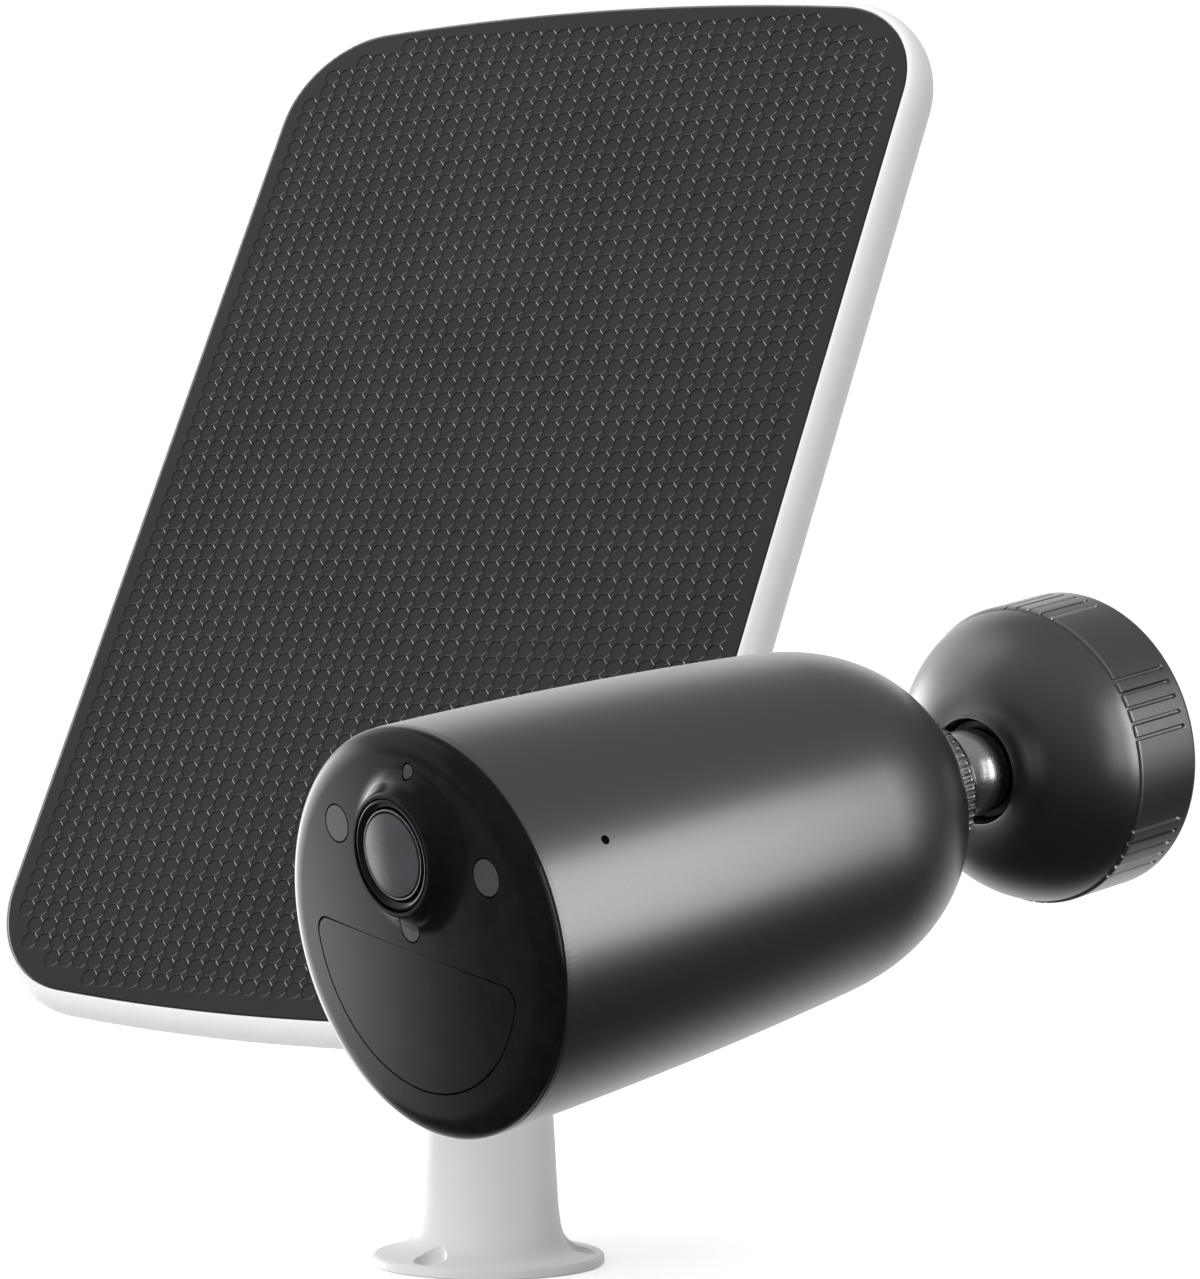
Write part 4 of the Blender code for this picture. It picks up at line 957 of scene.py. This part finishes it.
def build_laminate():
    """Embossed film: shallow octagonal cells parted by thin ridges, their lower and left walls the widest."""
    cells = cell_set()
    side = CELL * (math.sqrt(2) - 1) * 1.06
    cutoff = (CELL - side) / 2
    bm = bmesh.new()
    known = {}

    def vert(x, y, z):
        key = (round(x * 1e6), round(y * 1e6), round(z * 1e6))
        if key not in known:
            known[key] = bm.verts.new((x, PANEL_MID + y, FACE_P + z))
        return known[key]

    def wall_width(inward):
        """The lower wall slopes most gently, then the left ones."""
        if inward.y > 0.5:
            return WALL_LOWER
        return WALL_LEFT if inward.x > 0.9 else WALL_OTHER

    def tile(points):
        """One cell: its rim is the ridge, its floor is lower and inset."""
        count = len(points)
        floor = []
        for k in range(count):
            before, here, after = points[k - 1], points[k], points[(k + 1) % count]
            d1 = Vector((here[0] - before[0], here[1] - before[1])).normalized()
            d2 = Vector((after[0] - here[0], after[1] - here[1])).normalized()
            n1 = Vector((-d1.y, d1.x))
            n2 = Vector((-d2.y, d2.x))
            w1 = wall_width(n1)
            w2 = wall_width(n2)
            turn = n1.dot(n2)
            shift = (n1 * (w1 - w2 * turn) + n2 * (w2 - w1 * turn)) / (1 - turn * turn)
            floor.append((here[0] + shift.x, here[1] + shift.y))
        rim = [vert(x, y, 0) for x, y in points]
        low = [vert(x, y, -CELL_DEPTH) for x, y in floor]
        bm.faces.new(low)
        for k in range(count):
            n = (k + 1) % count
            bm.faces.new((rim[k], rim[n], low[n], low[k]))

    nodes = {}
    for i, j in cells:
        x0 = (i - COLUMNS / 2) * CELL
        y0 = (j - ROWS / 2) * CELL
        x1 = x0 + CELL
        y1 = y0 + CELL
        tile([(x0 + cutoff, y0), (x1 - cutoff, y0), (x1, y0 + cutoff), (x1, y1 - cutoff),
              (x1 - cutoff, y1), (x0 + cutoff, y1), (x0, y1 - cutoff), (x0, y0 + cutoff)])
        for p in ((i, j), (i + 1, j), (i, j + 1), (i + 1, j + 1)):
            nodes[p] = nodes.get(p, 0) + 1
    for (i, j), used in nodes.items():
        if used < 4:
            continue
        x = (i - COLUMNS / 2) * CELL
        y = (j - ROWS / 2) * CELL
        bm.faces.new([vert(x, y - cutoff, 0), vert(x + cutoff, y, 0), vert(x, y + cutoff, 0), vert(x - cutoff, y, 0)])
    bm.verts.ensure_lookup_table()
    border = [e for e in bm.edges if len(e.link_faces) == 1]
    outline = [bm.verts.new((x, PANEL_MID + y, FACE_P)) for x, y in panel_outline(-0.25 * MM)]
    loop = [bm.edges.new((a, b)) for a, b in zip(outline, outline[1:] + outline[:1])]
    bmesh.ops.triangle_fill(bm, use_beauty=True, use_dissolve=False, edges=border + loop)
    for v in outline:
        v.co.z = FACE_P - 0.06 * MM
    rim = [e for e in bm.edges if len(e.link_faces) == 1]
    for grow, drop in ((0.0, 0.25 * MM), (0.0, LAMINATE.high[2] - LAMINATE.low[2])):
        made = bmesh.ops.extrude_edge_only(bm, edges=rim)["geom"]
        new_verts = [v for v in made if isinstance(v, bmesh.types.BMVert)]
        target = panel_outline(grow)
        for v in new_verts:
            near = min(target, key=lambda p: (p[0] - v.co.x) ** 2 + (p[1] + PANEL_MID - v.co.y) ** 2)
            v.co = Vector((near[0], near[1] + PANEL_MID, FACE_P - drop))
        rim = [e for e in made if isinstance(e, bmesh.types.BMEdge)]
    bmesh.ops.contextual_create(bm, geom=rim)
    bm.verts.index_update()
    verts = [tuple(v.co) for v in bm.verts]
    faces = [tuple(v.index for v in f.verts) for f in bm.faces]
    bm.free()
    add_object("solar_laminate_film", verts, faces, PANEL, LOOKS["laminate"], "panel", "laminate",
               ("solar_laminate",), 5)


def panel_ring(grow, depth):
    return [(x, y + PANEL_MID, FACE_P - depth) for x, y in panel_outline(grow)]


def build_panel_frame():
    thick = RIM.high[2] - RIM.low[2] + 0.1 * MM
    bulge = RIM.high[0] - HALF_W
    gap = 0.22 * MM
    side = [(gap + (bulge - gap) * math.sin(math.radians(a)), thick / 2 * (1 - math.cos(math.radians(a))))
            for a in range(4, 177, 6)]
    section = [(gap, 0.9 * MM), (gap, 0.02 * MM)] + side
    section += [(-2.0 * MM, thick), (-2.5 * MM, thick - 0.2 * MM), (-2.5 * MM, 7.6 * MM), (-6.0 * MM, 7.6 * MM),
                (-6.0 * MM, 2.9 * MM), (gap, 2.9 * MM)]
    rings = [panel_ring(g, d) for g, d in section]
    add_object("panel_frame_rim", *rings_mesh(rings, closed=True), PANEL, LOOKS["white"], "panel", "white",
               ("panel_frame",), 40)


def build_panel_back():
    section = [(-5.0 * MM, 7.9 * MM), (-2.8 * MM, 7.9 * MM), (-2.8 * MM, 9.6 * MM), (-3.0 * MM, 10.0 * MM),
               (-3.5 * MM, 10.25 * MM), (-12.6 * MM, 12.5 * MM), (-14.0 * MM, 12.75 * MM), (-15.5 * MM, 12.8 * MM)]
    back = add_object("panel_back_cover", *rings_mesh([panel_ring(g, d) for g, d in section]), PANEL,
                      LOOKS["white"], "panel", "white", ("panel_back",), 30)
    face = FACE_P
    boss = rounded([(5.3 * MM, face - 9 * MM), (13.5 * MM, face - 9 * MM), (13.3 * MM, face - 12.9 * MM),
                    (12.5 * MM, face - 18 * MM), (5.3 * MM, face - 18 * MM), (5.3 * MM, face - 9 * MM)], 0.8 * MM)
    solid = [(0, face - 9 * MM)] + [p for p in boss[1:-1] if p[0] > 6 * MM] + [(0, face - 18 * MM)]
    cut(back, [cutter("tool_boss", *lathe(solid, 96), PANEL)], "UNION")
    bore = [(0, face - 7 * MM), (5.3 * MM, face - 7 * MM), (5.3 * MM, face - 20 * MM), (0, face - 20 * MM)]
    cut(back, [cutter("tool_bore", *lathe(bore, 64), PANEL)])


def build_screws():
    """Pan heads with a cross recess."""
    for k in range(1, 5):
        node = "back_screw_%d" % k
        size = Measure(node, PANEL)
        low, high = size.low[2], size.high[2]
        r = size.radius
        profile = [(0, high), (r, high), (r, low + 0.75 * MM), (r * 0.92, low + 0.35 * MM), (r * 0.72, low + 0.1 * MM),
                   (r * 0.4, low), (0, low)]
        centre = (size.mid[0], size.mid[1])
        head = add_object(node + "_head", *lathe(profile, 48, centre), PANEL, LOOKS["steel"], "panel", "steel",
                          (node,), 30)
        tools = []
        for wide, tall in ((0.7 * MM, 3.0 * MM), (3.0 * MM, 0.7 * MM)):
            outline = [(centre[0] + x * wide / 2, centre[1] + y * tall / 2) for x, y in ((-1, -1), (1, -1), (1, 1), (-1, 1))]
            tools.append(cutter("tool_cross", *rings_mesh([[(x, y, h) for x, y in outline]
                                                           for h in (low - 1 * MM, low + 0.8 * MM)]), PANEL))
        cut(head, tools)


def tube(points, radius, sides):
    """Round tube along a smooth path."""
    rings = []
    side = None
    for i, point in enumerate(points):
        along = (points[min(i + 1, len(points) - 1)] - points[max(i - 1, 0)]).normalized()
        if side is None:
            side = along.orthogonal()
        side = (side - along * side.dot(along)).normalized()
        other = along.cross(side)
        rings.append([tuple(point + (side * math.cos(2 * math.pi * k / sides)
                                     + other * math.sin(2 * math.pi * k / sides)) * radius) for k in range(sides)])
    return rings_mesh(rings)


COIL_R = 30 * MM
COIL_BEND = 8 * MM
COIL_TURNS = 2.75
LEAD_R = 1.7 * MM
LEAD_TAIL = 22 * MM


def lead_path():
    """From the strain relief round the coil behind the panel, then straight on to the plug."""
    relief = Measure("strain_relief", PANEL)
    x, y = relief.mid[0], relief.mid[1]
    face = FACE_P
    marks = [Vector((x, y, face - 13.4 * MM)), Vector((x, y, face - 17.4 * MM)), Vector((x, y, face - 21.4 * MM)),
             Vector((x - 0.8 * MM, y - 0.2 * MM, face - 24.4 * MM)), Vector((x - 3.2 * MM, y - 0.5 * MM, face - 25.8 * MM))]
    centre = Vector((x - COIL_R - COIL_BEND, y + COIL_BEND, face))
    steps = 60
    count = int(COIL_TURNS * steps)
    for i in range(count + 1):
        a = 2 * math.pi * i / steps - math.radians(50)
        depth = 27.8 * MM - 9.6 * MM * i / count
        marks.append(centre + Vector((COIL_R * math.cos(a), COIL_R * math.sin(a), -depth)))
    onward = Vector((-math.sin(a), math.cos(a), 0))
    marks.append(marks[-1] + onward * LEAD_TAIL)
    for _ in range(3):
        marks = [marks[0]] + [(p + q * 2 + r) / 4 for p, q, r in zip(marks, marks[1:], marks[2:])] + [marks[-1]]
    return marks, onward


def build_lead():
    marks, onward = lead_path()
    add_object("charging_lead_coil", *tube(marks, LEAD_R, 16), PANEL, LOOKS["cable"], "panel", "cable",
               ("charging_lead",), 50)
    relief = Measure("strain_relief", PANEL)
    top = relief.high[2]
    low = relief.low[2]
    profile = [(LEAD_R + 0.15 * MM, top), (relief.radius, top), (relief.radius, top - 0.8 * MM)]
    ribs = 5
    for k in range(ribs):
        h = top - 1.2 * MM - (top - low - 1.4 * MM) * k / ribs
        step = (top - low - 1.4 * MM) / ribs
        r = relief.radius * (0.80 - 0.10 * k / ribs)
        profile += [(r, h), (r, h - step * 0.5), (r - 0.6 * MM, h - step * 0.6), (r - 0.6 * MM, h - step * 0.95)]
    profile += [(LEAD_R + 0.5 * MM, low), (LEAD_R + 0.15 * MM, low)]
    centre = (relief.mid[0], relief.mid[1])
    add_object("strain_relief_ribbed", *lathe(profile, 48, centre), PANEL, LOOKS["rubber"], "panel", "rubber",
               ("strain_relief",), 30)
    build_plug(marks[-1], onward)


def build_plug(start, onward):
    """Moulded plug at the free end of the lead, with its metal tip."""
    place = PANEL @ unit_frame(start, Vector((0, 0, 1)), onward)
    gap = 0.3 * MM
    profile = [(0, gap), (2.0 * MM, gap), (2.1 * MM, 1.2 * MM), (1.7 * MM, 1.4 * MM), (2.3 * MM, 1.7 * MM),
               (2.4 * MM, 2.8 * MM), (2.0 * MM, 3.0 * MM), (2.6 * MM, 3.3 * MM), (3.9 * MM, 5.6 * MM),
               (4.0 * MM, 6.4 * MM), (4.0 * MM, 14.3 * MM), (3.4 * MM, 15.0 * MM), (0, 15.0 * MM)]
    add_object("charging_plug_grip", *lathe(profile, 48), place, LOOKS["rubber"], "panel", "rubber",
               ("charging_plug",), 30)
    outline = rounded_rectangle((-3.2 * MM, -1.2 * MM), (3.2 * MM, 1.2 * MM), 1.15 * MM)
    inner = [(x * 0.88, y * 0.70) for x, y in outline]
    rings = [[(x, y, h) for x, y in ring] for ring, h in ((outline, 14.6 * MM), (outline, 20.9 * MM),
                                                         (inner, 20.9 * MM), (inner, 16.5 * MM))]
    add_object("charging_plug_tip", *rings_mesh(rings), place, LOOKS["steel"], "panel", "steel", (), 30)


# ---------------------------------------------------------------- bracket
def build_stem():
    """Drilled flange, tapering stem and ball cup."""
    size = Measure("bracket_stem", STEM)
    base = size.low[2]
    cup = arc((0, 0), Measure("panel_stud", PANEL).radius + 0.3 * MM, -4, -90, 24)
    cup[-1] = (0, cup[-1][1])
    flange = size.radius
    outside = [(flange - 0.3 * MM, 0), (flange, 0.3 * MM), (flange, 1.7 * MM), (flange - 0.45 * MM, 2.15 * MM),
               (20.6 * MM, 2.75 * MM), (18.4 * MM, 3.35 * MM), (16.6 * MM, 4.4 * MM), (15.35 * MM, 6.0 * MM),
               (14.75 * MM, 8.2 * MM), (14.3 * MM, 12 * MM), (12.97 * MM, 36 * MM), (11.7 * MM, 64 * MM),
               (10.6 * MM, 91 * MM), (10.9 * MM, 93 * MM), (12.2 * MM, 95.2 * MM), (12.6 * MM, 96 * MM),
               (12.6 * MM, 98.2 * MM), (11.6 * MM, 98.6 * MM), (11.6 * MM, 109.2 * MM)]
    profile = [(0, base)] + [(r, base + h) for r, h in outside] + cup
    stem = add_object("bracket_stem_casting", *lathe(profile, 160), STEM, LOOKS["white_metal"], "stand",
                      "white_metal", ("bracket_stem",), 30)
    tools = []
    for degrees in HOLE_ANGLES:
        a = math.radians(degrees)
        hole = [(0, base - 2 * MM), (HOLE_R, base - 2 * MM), (HOLE_R, base + 1.35 * MM),
                (HOLE_R + 1.25 * MM, base + 2.6 * MM), (HOLE_R + 1.25 * MM, base + 8 * MM), (0, base + 8 * MM)]
        centre = (HOLE_CIRCLE_R * math.cos(a), HOLE_CIRCLE_R * math.sin(a))
        tools.append(cutter("tool_flange_hole", *lathe(hole, 48, centre), STEM))
    cut(stem, tools)


HOLE_ANGLES = (233.4, 353.4, 113.4)
HOLE_CIRCLE_R = 19.3 * MM
HOLE_R = 2.2 * MM


def build_ball_clamp():
    size = Measure("clamp_collar", STEM)
    low, high, r = size.low[2], size.high[2], size.radius
    outer = [(11.95 * MM, low), (r - 0.5 * MM, low), (r, low + 0.5 * MM), (r, -1.9 * MM), (r - 0.15 * MM, -1.2 * MM),
             (12.9 * MM, 0.55 * MM), (11.6 * MM, high - 0.1 * MM), (11.2 * MM, high), (9.9 * MM, high),
             (9.9 * MM, high - 0.3 * MM), (11.95 * MM, 0.3 * MM)]
    add_object("clamp_collar_ring", *lathe(outer, 128), STEM, LOOKS["white"], "clamp_collar", "white",
               ("clamp_collar",), 30)
    nut = Measure("panel_nut", PANEL)
    count = 96

    def ring(radius, h, hexagon):
        points = []
        for i in range(count):
            degrees = 360 * i / count
            reach = radius
            if hexagon:
                reach = radius * min(1.0, 0.90 / math.cos(math.radians(degrees % 60 - 30)))
            a = math.radians(degrees)
            points.append((reach * math.cos(a), reach * math.sin(a), h))
        return points

    r, low, high = nut.radius, nut.low[2], nut.high[2]
    rings = [ring(3.3 * MM, high, False), ring(r * 0.89, high, False), ring(r, high - 0.4 * MM, True),
             ring(r, low + 0.4 * MM, True), ring(r * 0.89, low, False), ring(3.3 * MM, low, False)]
    add_object("panel_nut_hexagon", *rings_mesh(rings, closed=True), PANEL, LOOKS["steel"], "panel_nut", "steel",
               ("panel_nut",), 20)


# ---------------------------------------------------------------- charging port
def build_port():
    """Charging socket with its tongue, and the reset button beside it."""
    size = Measure("usb_socket", CAMERA)
    mid = size.mid
    mouth, deep = size.low[1], size.high[1]
    outline = rounded_rectangle((size.low[0], size.low[2]), (size.high[0], size.high[2]), 1.65 * MM)
    middle = (mid[0], mid[2])

    def ring(shrink, y):
        points = []
        for x, z in outline:
            dx, dz = x - middle[0], z - middle[1]
            sx = (size.high[0] - mid[0] - shrink) / (size.high[0] - mid[0])
            sz = (size.high[2] - mid[2] - shrink) / (size.high[2] - mid[2])
            points.append((middle[0] + dx * sx, y, middle[1] + dz * sz))
        return points

    rings = [ring(0, deep), ring(0, mouth + 0.1 * MM), ring(0.1 * MM, mouth), ring(0.4 * MM, mouth),
             ring(0.5 * MM, mouth + 0.1 * MM), ring(0.5 * MM, deep - 0.6 * MM)]
    add_object("usb_socket_shell", *rings_mesh(rings), CAMERA, LOOKS["steel"], "camera", "steel", ("usb_socket",), 30)
    tongue = rounded_rectangle((mid[0] - 3.1 * MM, mid[2] - 0.35 * MM), (mid[0] + 3.1 * MM, mid[2] + 0.35 * MM), 0.3 * MM)
    rings = [[(x, y, z) for x, z in tongue] for y in (mouth + 0.9 * MM, deep - 0.7 * MM)]
    add_object("usb_socket_tongue", *rings_mesh(rings), CAMERA, LOOKS["matte_black"], "camera", "matte_black", (), 30)
    size = Measure("reset_button", CAMERA)
    down = unit_frame((size.mid[0], size.high[1], size.mid[2]), Vector((1, 0, 0)), Vector((0, -1, 0)))
    r = size.radius
    tall = size.high[1] - size.low[1]
    profile = [(0, 0), (r, 0), (r, tall - 0.5 * MM), (r - 0.2 * MM, tall - 0.15 * MM), (r - 0.6 * MM, tall),
               (0.5 * MM, tall - 0.12 * MM), (0, tall - 0.15 * MM)]
    add_object("reset_button_cap", *lathe(profile, 48), CAMERA @ down, LOOKS["rubber"], "reset_button", "rubber",
               ("reset_button",), 40)


dress_cad()
build_shell()
build_port_cover()
build_front()
build_windows()
build_lens()
build_tail_plug()
build_nut()
build_studs()
build_cap()
build_base()
build_liner()
build_port()
build_laminate()
build_panel_frame()
build_panel_back()
build_screws()
build_lead()
build_stem()
build_ball_clamp()


# ---------------------------------------------------------------- stage
def camera_only(look, strength):
    """Adds a glow that only the camera sees, so that a white floor stays white without lighting the object."""
    path = look.node("ShaderNodeLightPath")
    scale = look.node("ShaderNodeMath", operation="MULTIPLY")
    scale.inputs[1].default_value = strength
    look.link(path.outputs["Is Camera Ray"], scale.inputs[0])
    look.shader.inputs["Emission Color"].default_value = (1, 1, 1, 1)
    look.link(scale.outputs["Value"], look.shader.inputs["Emission Strength"])


def stage():
    """Pale floor that curves up into a pale backdrop."""
    bm = bmesh.new()
    profile = [(-4.0, 0.0), (1.6, 0.0)]
    profile += [(1.6 + 0.8 * math.sin(math.radians(a)), 0.8 - 0.8 * math.cos(math.radians(a))) for a in range(10, 91, 10)]
    profile.append((2.4, 3.2))
    left = [bm.verts.new((-4.0, y, z)) for y, z in profile]
    right = [bm.verts.new((4.0, y, z)) for y, z in profile]
    for k in range(len(profile) - 1):
        bm.faces.new((left[k], right[k], right[k + 1], left[k + 1]))
    mesh = bpy.data.meshes.new("floor")
    bm.to_mesh(mesh)
    bm.free()
    mesh.shade_smooth()
    floor = bpy.data.objects.new("floor", mesh)
    bpy.context.scene.collection.objects.link(floor)
    floor.visible_glossy = False
    look = Look("pale_floor")
    look.vary_colour(3, (0.86, 0.86, 0.86), (0.88, 0.88, 0.88))
    look.vary_roughness(5, 0.8, 0.9)
    camera_only(look, 0.42)
    mesh.materials.append(look.material)


def studio_world():
    """White to the camera, softly shaded to matt surfaces, and a studio with a bright wall behind to shiny ones."""
    world = bpy.data.worlds.new("studio")
    world.use_nodes = True
    bpy.context.scene.world = world
    nodes, links = world.node_tree.nodes, world.node_tree.links
    direction = nodes.new("ShaderNodeTexCoord").outputs["Generated"]
    split = nodes.new("ShaderNodeSeparateXYZ")
    links.new(direction, split.inputs[0])

    def ramp(source, start, end, first, last, smooth=True):
        made = nodes.new("ShaderNodeMapRange")
        made.interpolation_type = "SMOOTHSTEP" if smooth else "LINEAR"
        for key, value in (("From Min", start), ("From Max", end), ("To Min", first), ("To Max", last)):
            made.inputs[key].default_value = value
        links.new(source, made.inputs["Value"])
        return made.outputs["Result"]

    def join(operation, first, second):
        made = nodes.new("ShaderNodeMath")
        made.operation = operation
        links.new(first, made.inputs[0])
        links.new(second, made.inputs[1])
        return made.outputs["Value"]

    def choose(test, other, value):
        made = nodes.new("ShaderNodeMix")
        links.new(path.outputs[test], made.inputs["Factor"])
        links.new(other, made.inputs["A"])
        if isinstance(value, float):
            made.inputs["B"].default_value = value
        else:
            links.new(value, made.inputs["B"])
        return made.outputs["Result"]

    x, y, z = split.outputs
    high_right = join("ADD", z, ramp(x, -1.0, 1.0, -0.8, 0.8, False))
    wall = join("MULTIPLY", ramp(y, 0.38, 0.98, 0.0, 0.95), ramp(high_right, 0.50, 0.85, 1.0, 0.2))
    sky = ramp(z, -0.6, 0.9, 0.03, 0.26, False)
    corner = join("ADD", x, y)
    sky = join("MULTIPLY", sky, ramp(corner, 1.10, 1.28, 1.0, 0.25))
    screen = join("MULTIPLY", ramp(x, -0.65, -0.30, 0.68, 0.0), ramp(z, -0.18, 0.14, 0.0, 1.0))
    screen = join("MULTIPLY", screen, ramp(y, -0.25, 0.15, 0.0, 1.0))
    toward = nodes.new("ShaderNodeVectorMath")
    toward.operation = "DOT_PRODUCT"
    toward.inputs[1].default_value = Vector((-0.70, 0.68, -0.20)).normalized()
    links.new(direction, toward.inputs[0])
    low_left = ramp(toward.outputs["Value"], 0.86, 0.98, 0.0, 4.4)
    low_left = join("MULTIPLY", low_left, ramp(z, -0.46, -0.26, 0.0, 1.0))
    shiny = join("ADD", join("ADD", wall, sky), join("ADD", screen, low_left))
    path = nodes.new("ShaderNodeLightPath")
    matt = ramp(x, -1.0, 1.0, 1.16, 0.30, False)
    seen = choose("Is Camera Ray", choose("Is Glossy Ray", matt, shiny), 1.05)
    background = nodes["Background"]
    background.inputs["Color"].default_value = (1, 1, 1, 1)
    links.new(seen, background.inputs["Strength"])


def softbox(name, place, aim, size, power):
    data = bpy.data.lights.new(name, "AREA")
    data.shape = "RECTANGLE"
    data.size = size[0]
    data.size_y = size[1]
    data.energy = power
    lamp = bpy.data.objects.new(name, data)
    bpy.context.scene.collection.objects.link(lamp)
    lamp.location = place
    lamp.rotation_euler = (Vector(aim) - Vector(place)).to_track_quat("-Z", "Y").to_euler()
    return lamp


BEHIND = 0.0                # the panel unit reaches farther back than this, the camera unit does not


def world_box(piece):
    return [tuple(piece.matrix_world @ Vector(corner)) for corner in piece.bound_box]


def lights():
    """The camera's paint mirrors the studio only, as if the panel stood farther off."""
    studio_world()
    middle = (0.03, -0.25, 0.12)
    key = softbox("key", (1.0, -0.50, 0.29), middle, (0.54, 0.76), 3.4)
    key.visible_diffuse = False
    rim = softbox("rim", (0.80, -1.0, 0.30), middle, (0.12, 0.9), 0.7)
    rim.visible_diffuse = False
    fill = softbox("fill", (-1.2, -0.75, 0.6), (0, 0, 0.05), (0.8, 0.8), 6.0)
    fill.visible_glossy = False
    top = softbox("top", (0.10, -0.15, 1.1), (0.08, -0.17, 0.1), (0.35, 0.35), 3.4)
    top.visible_glossy = False
    for piece in bpy.context.scene.objects:
        if piece.type == "MESH" and max(y for _, y, _ in world_box(piece)) > BEHIND:
            piece.visible_glossy = False
    bpy.context.scene.view_settings.view_transform = "Standard"


def photo_camera():
    data = bpy.data.cameras.new("photo_camera")
    data.lens = 140
    data.sensor_width = 36
    data.sensor_fit = "AUTO"
    made = bpy.data.objects.new("photo_camera", data)
    bpy.context.scene.collection.objects.link(made)
    made.location = (0.0228, -1.0153, 0.1543)
    made.rotation_euler = (math.radians(88.5), 0, 0)
    bpy.context.scene.camera = made


stage()
lights()
photo_camera()
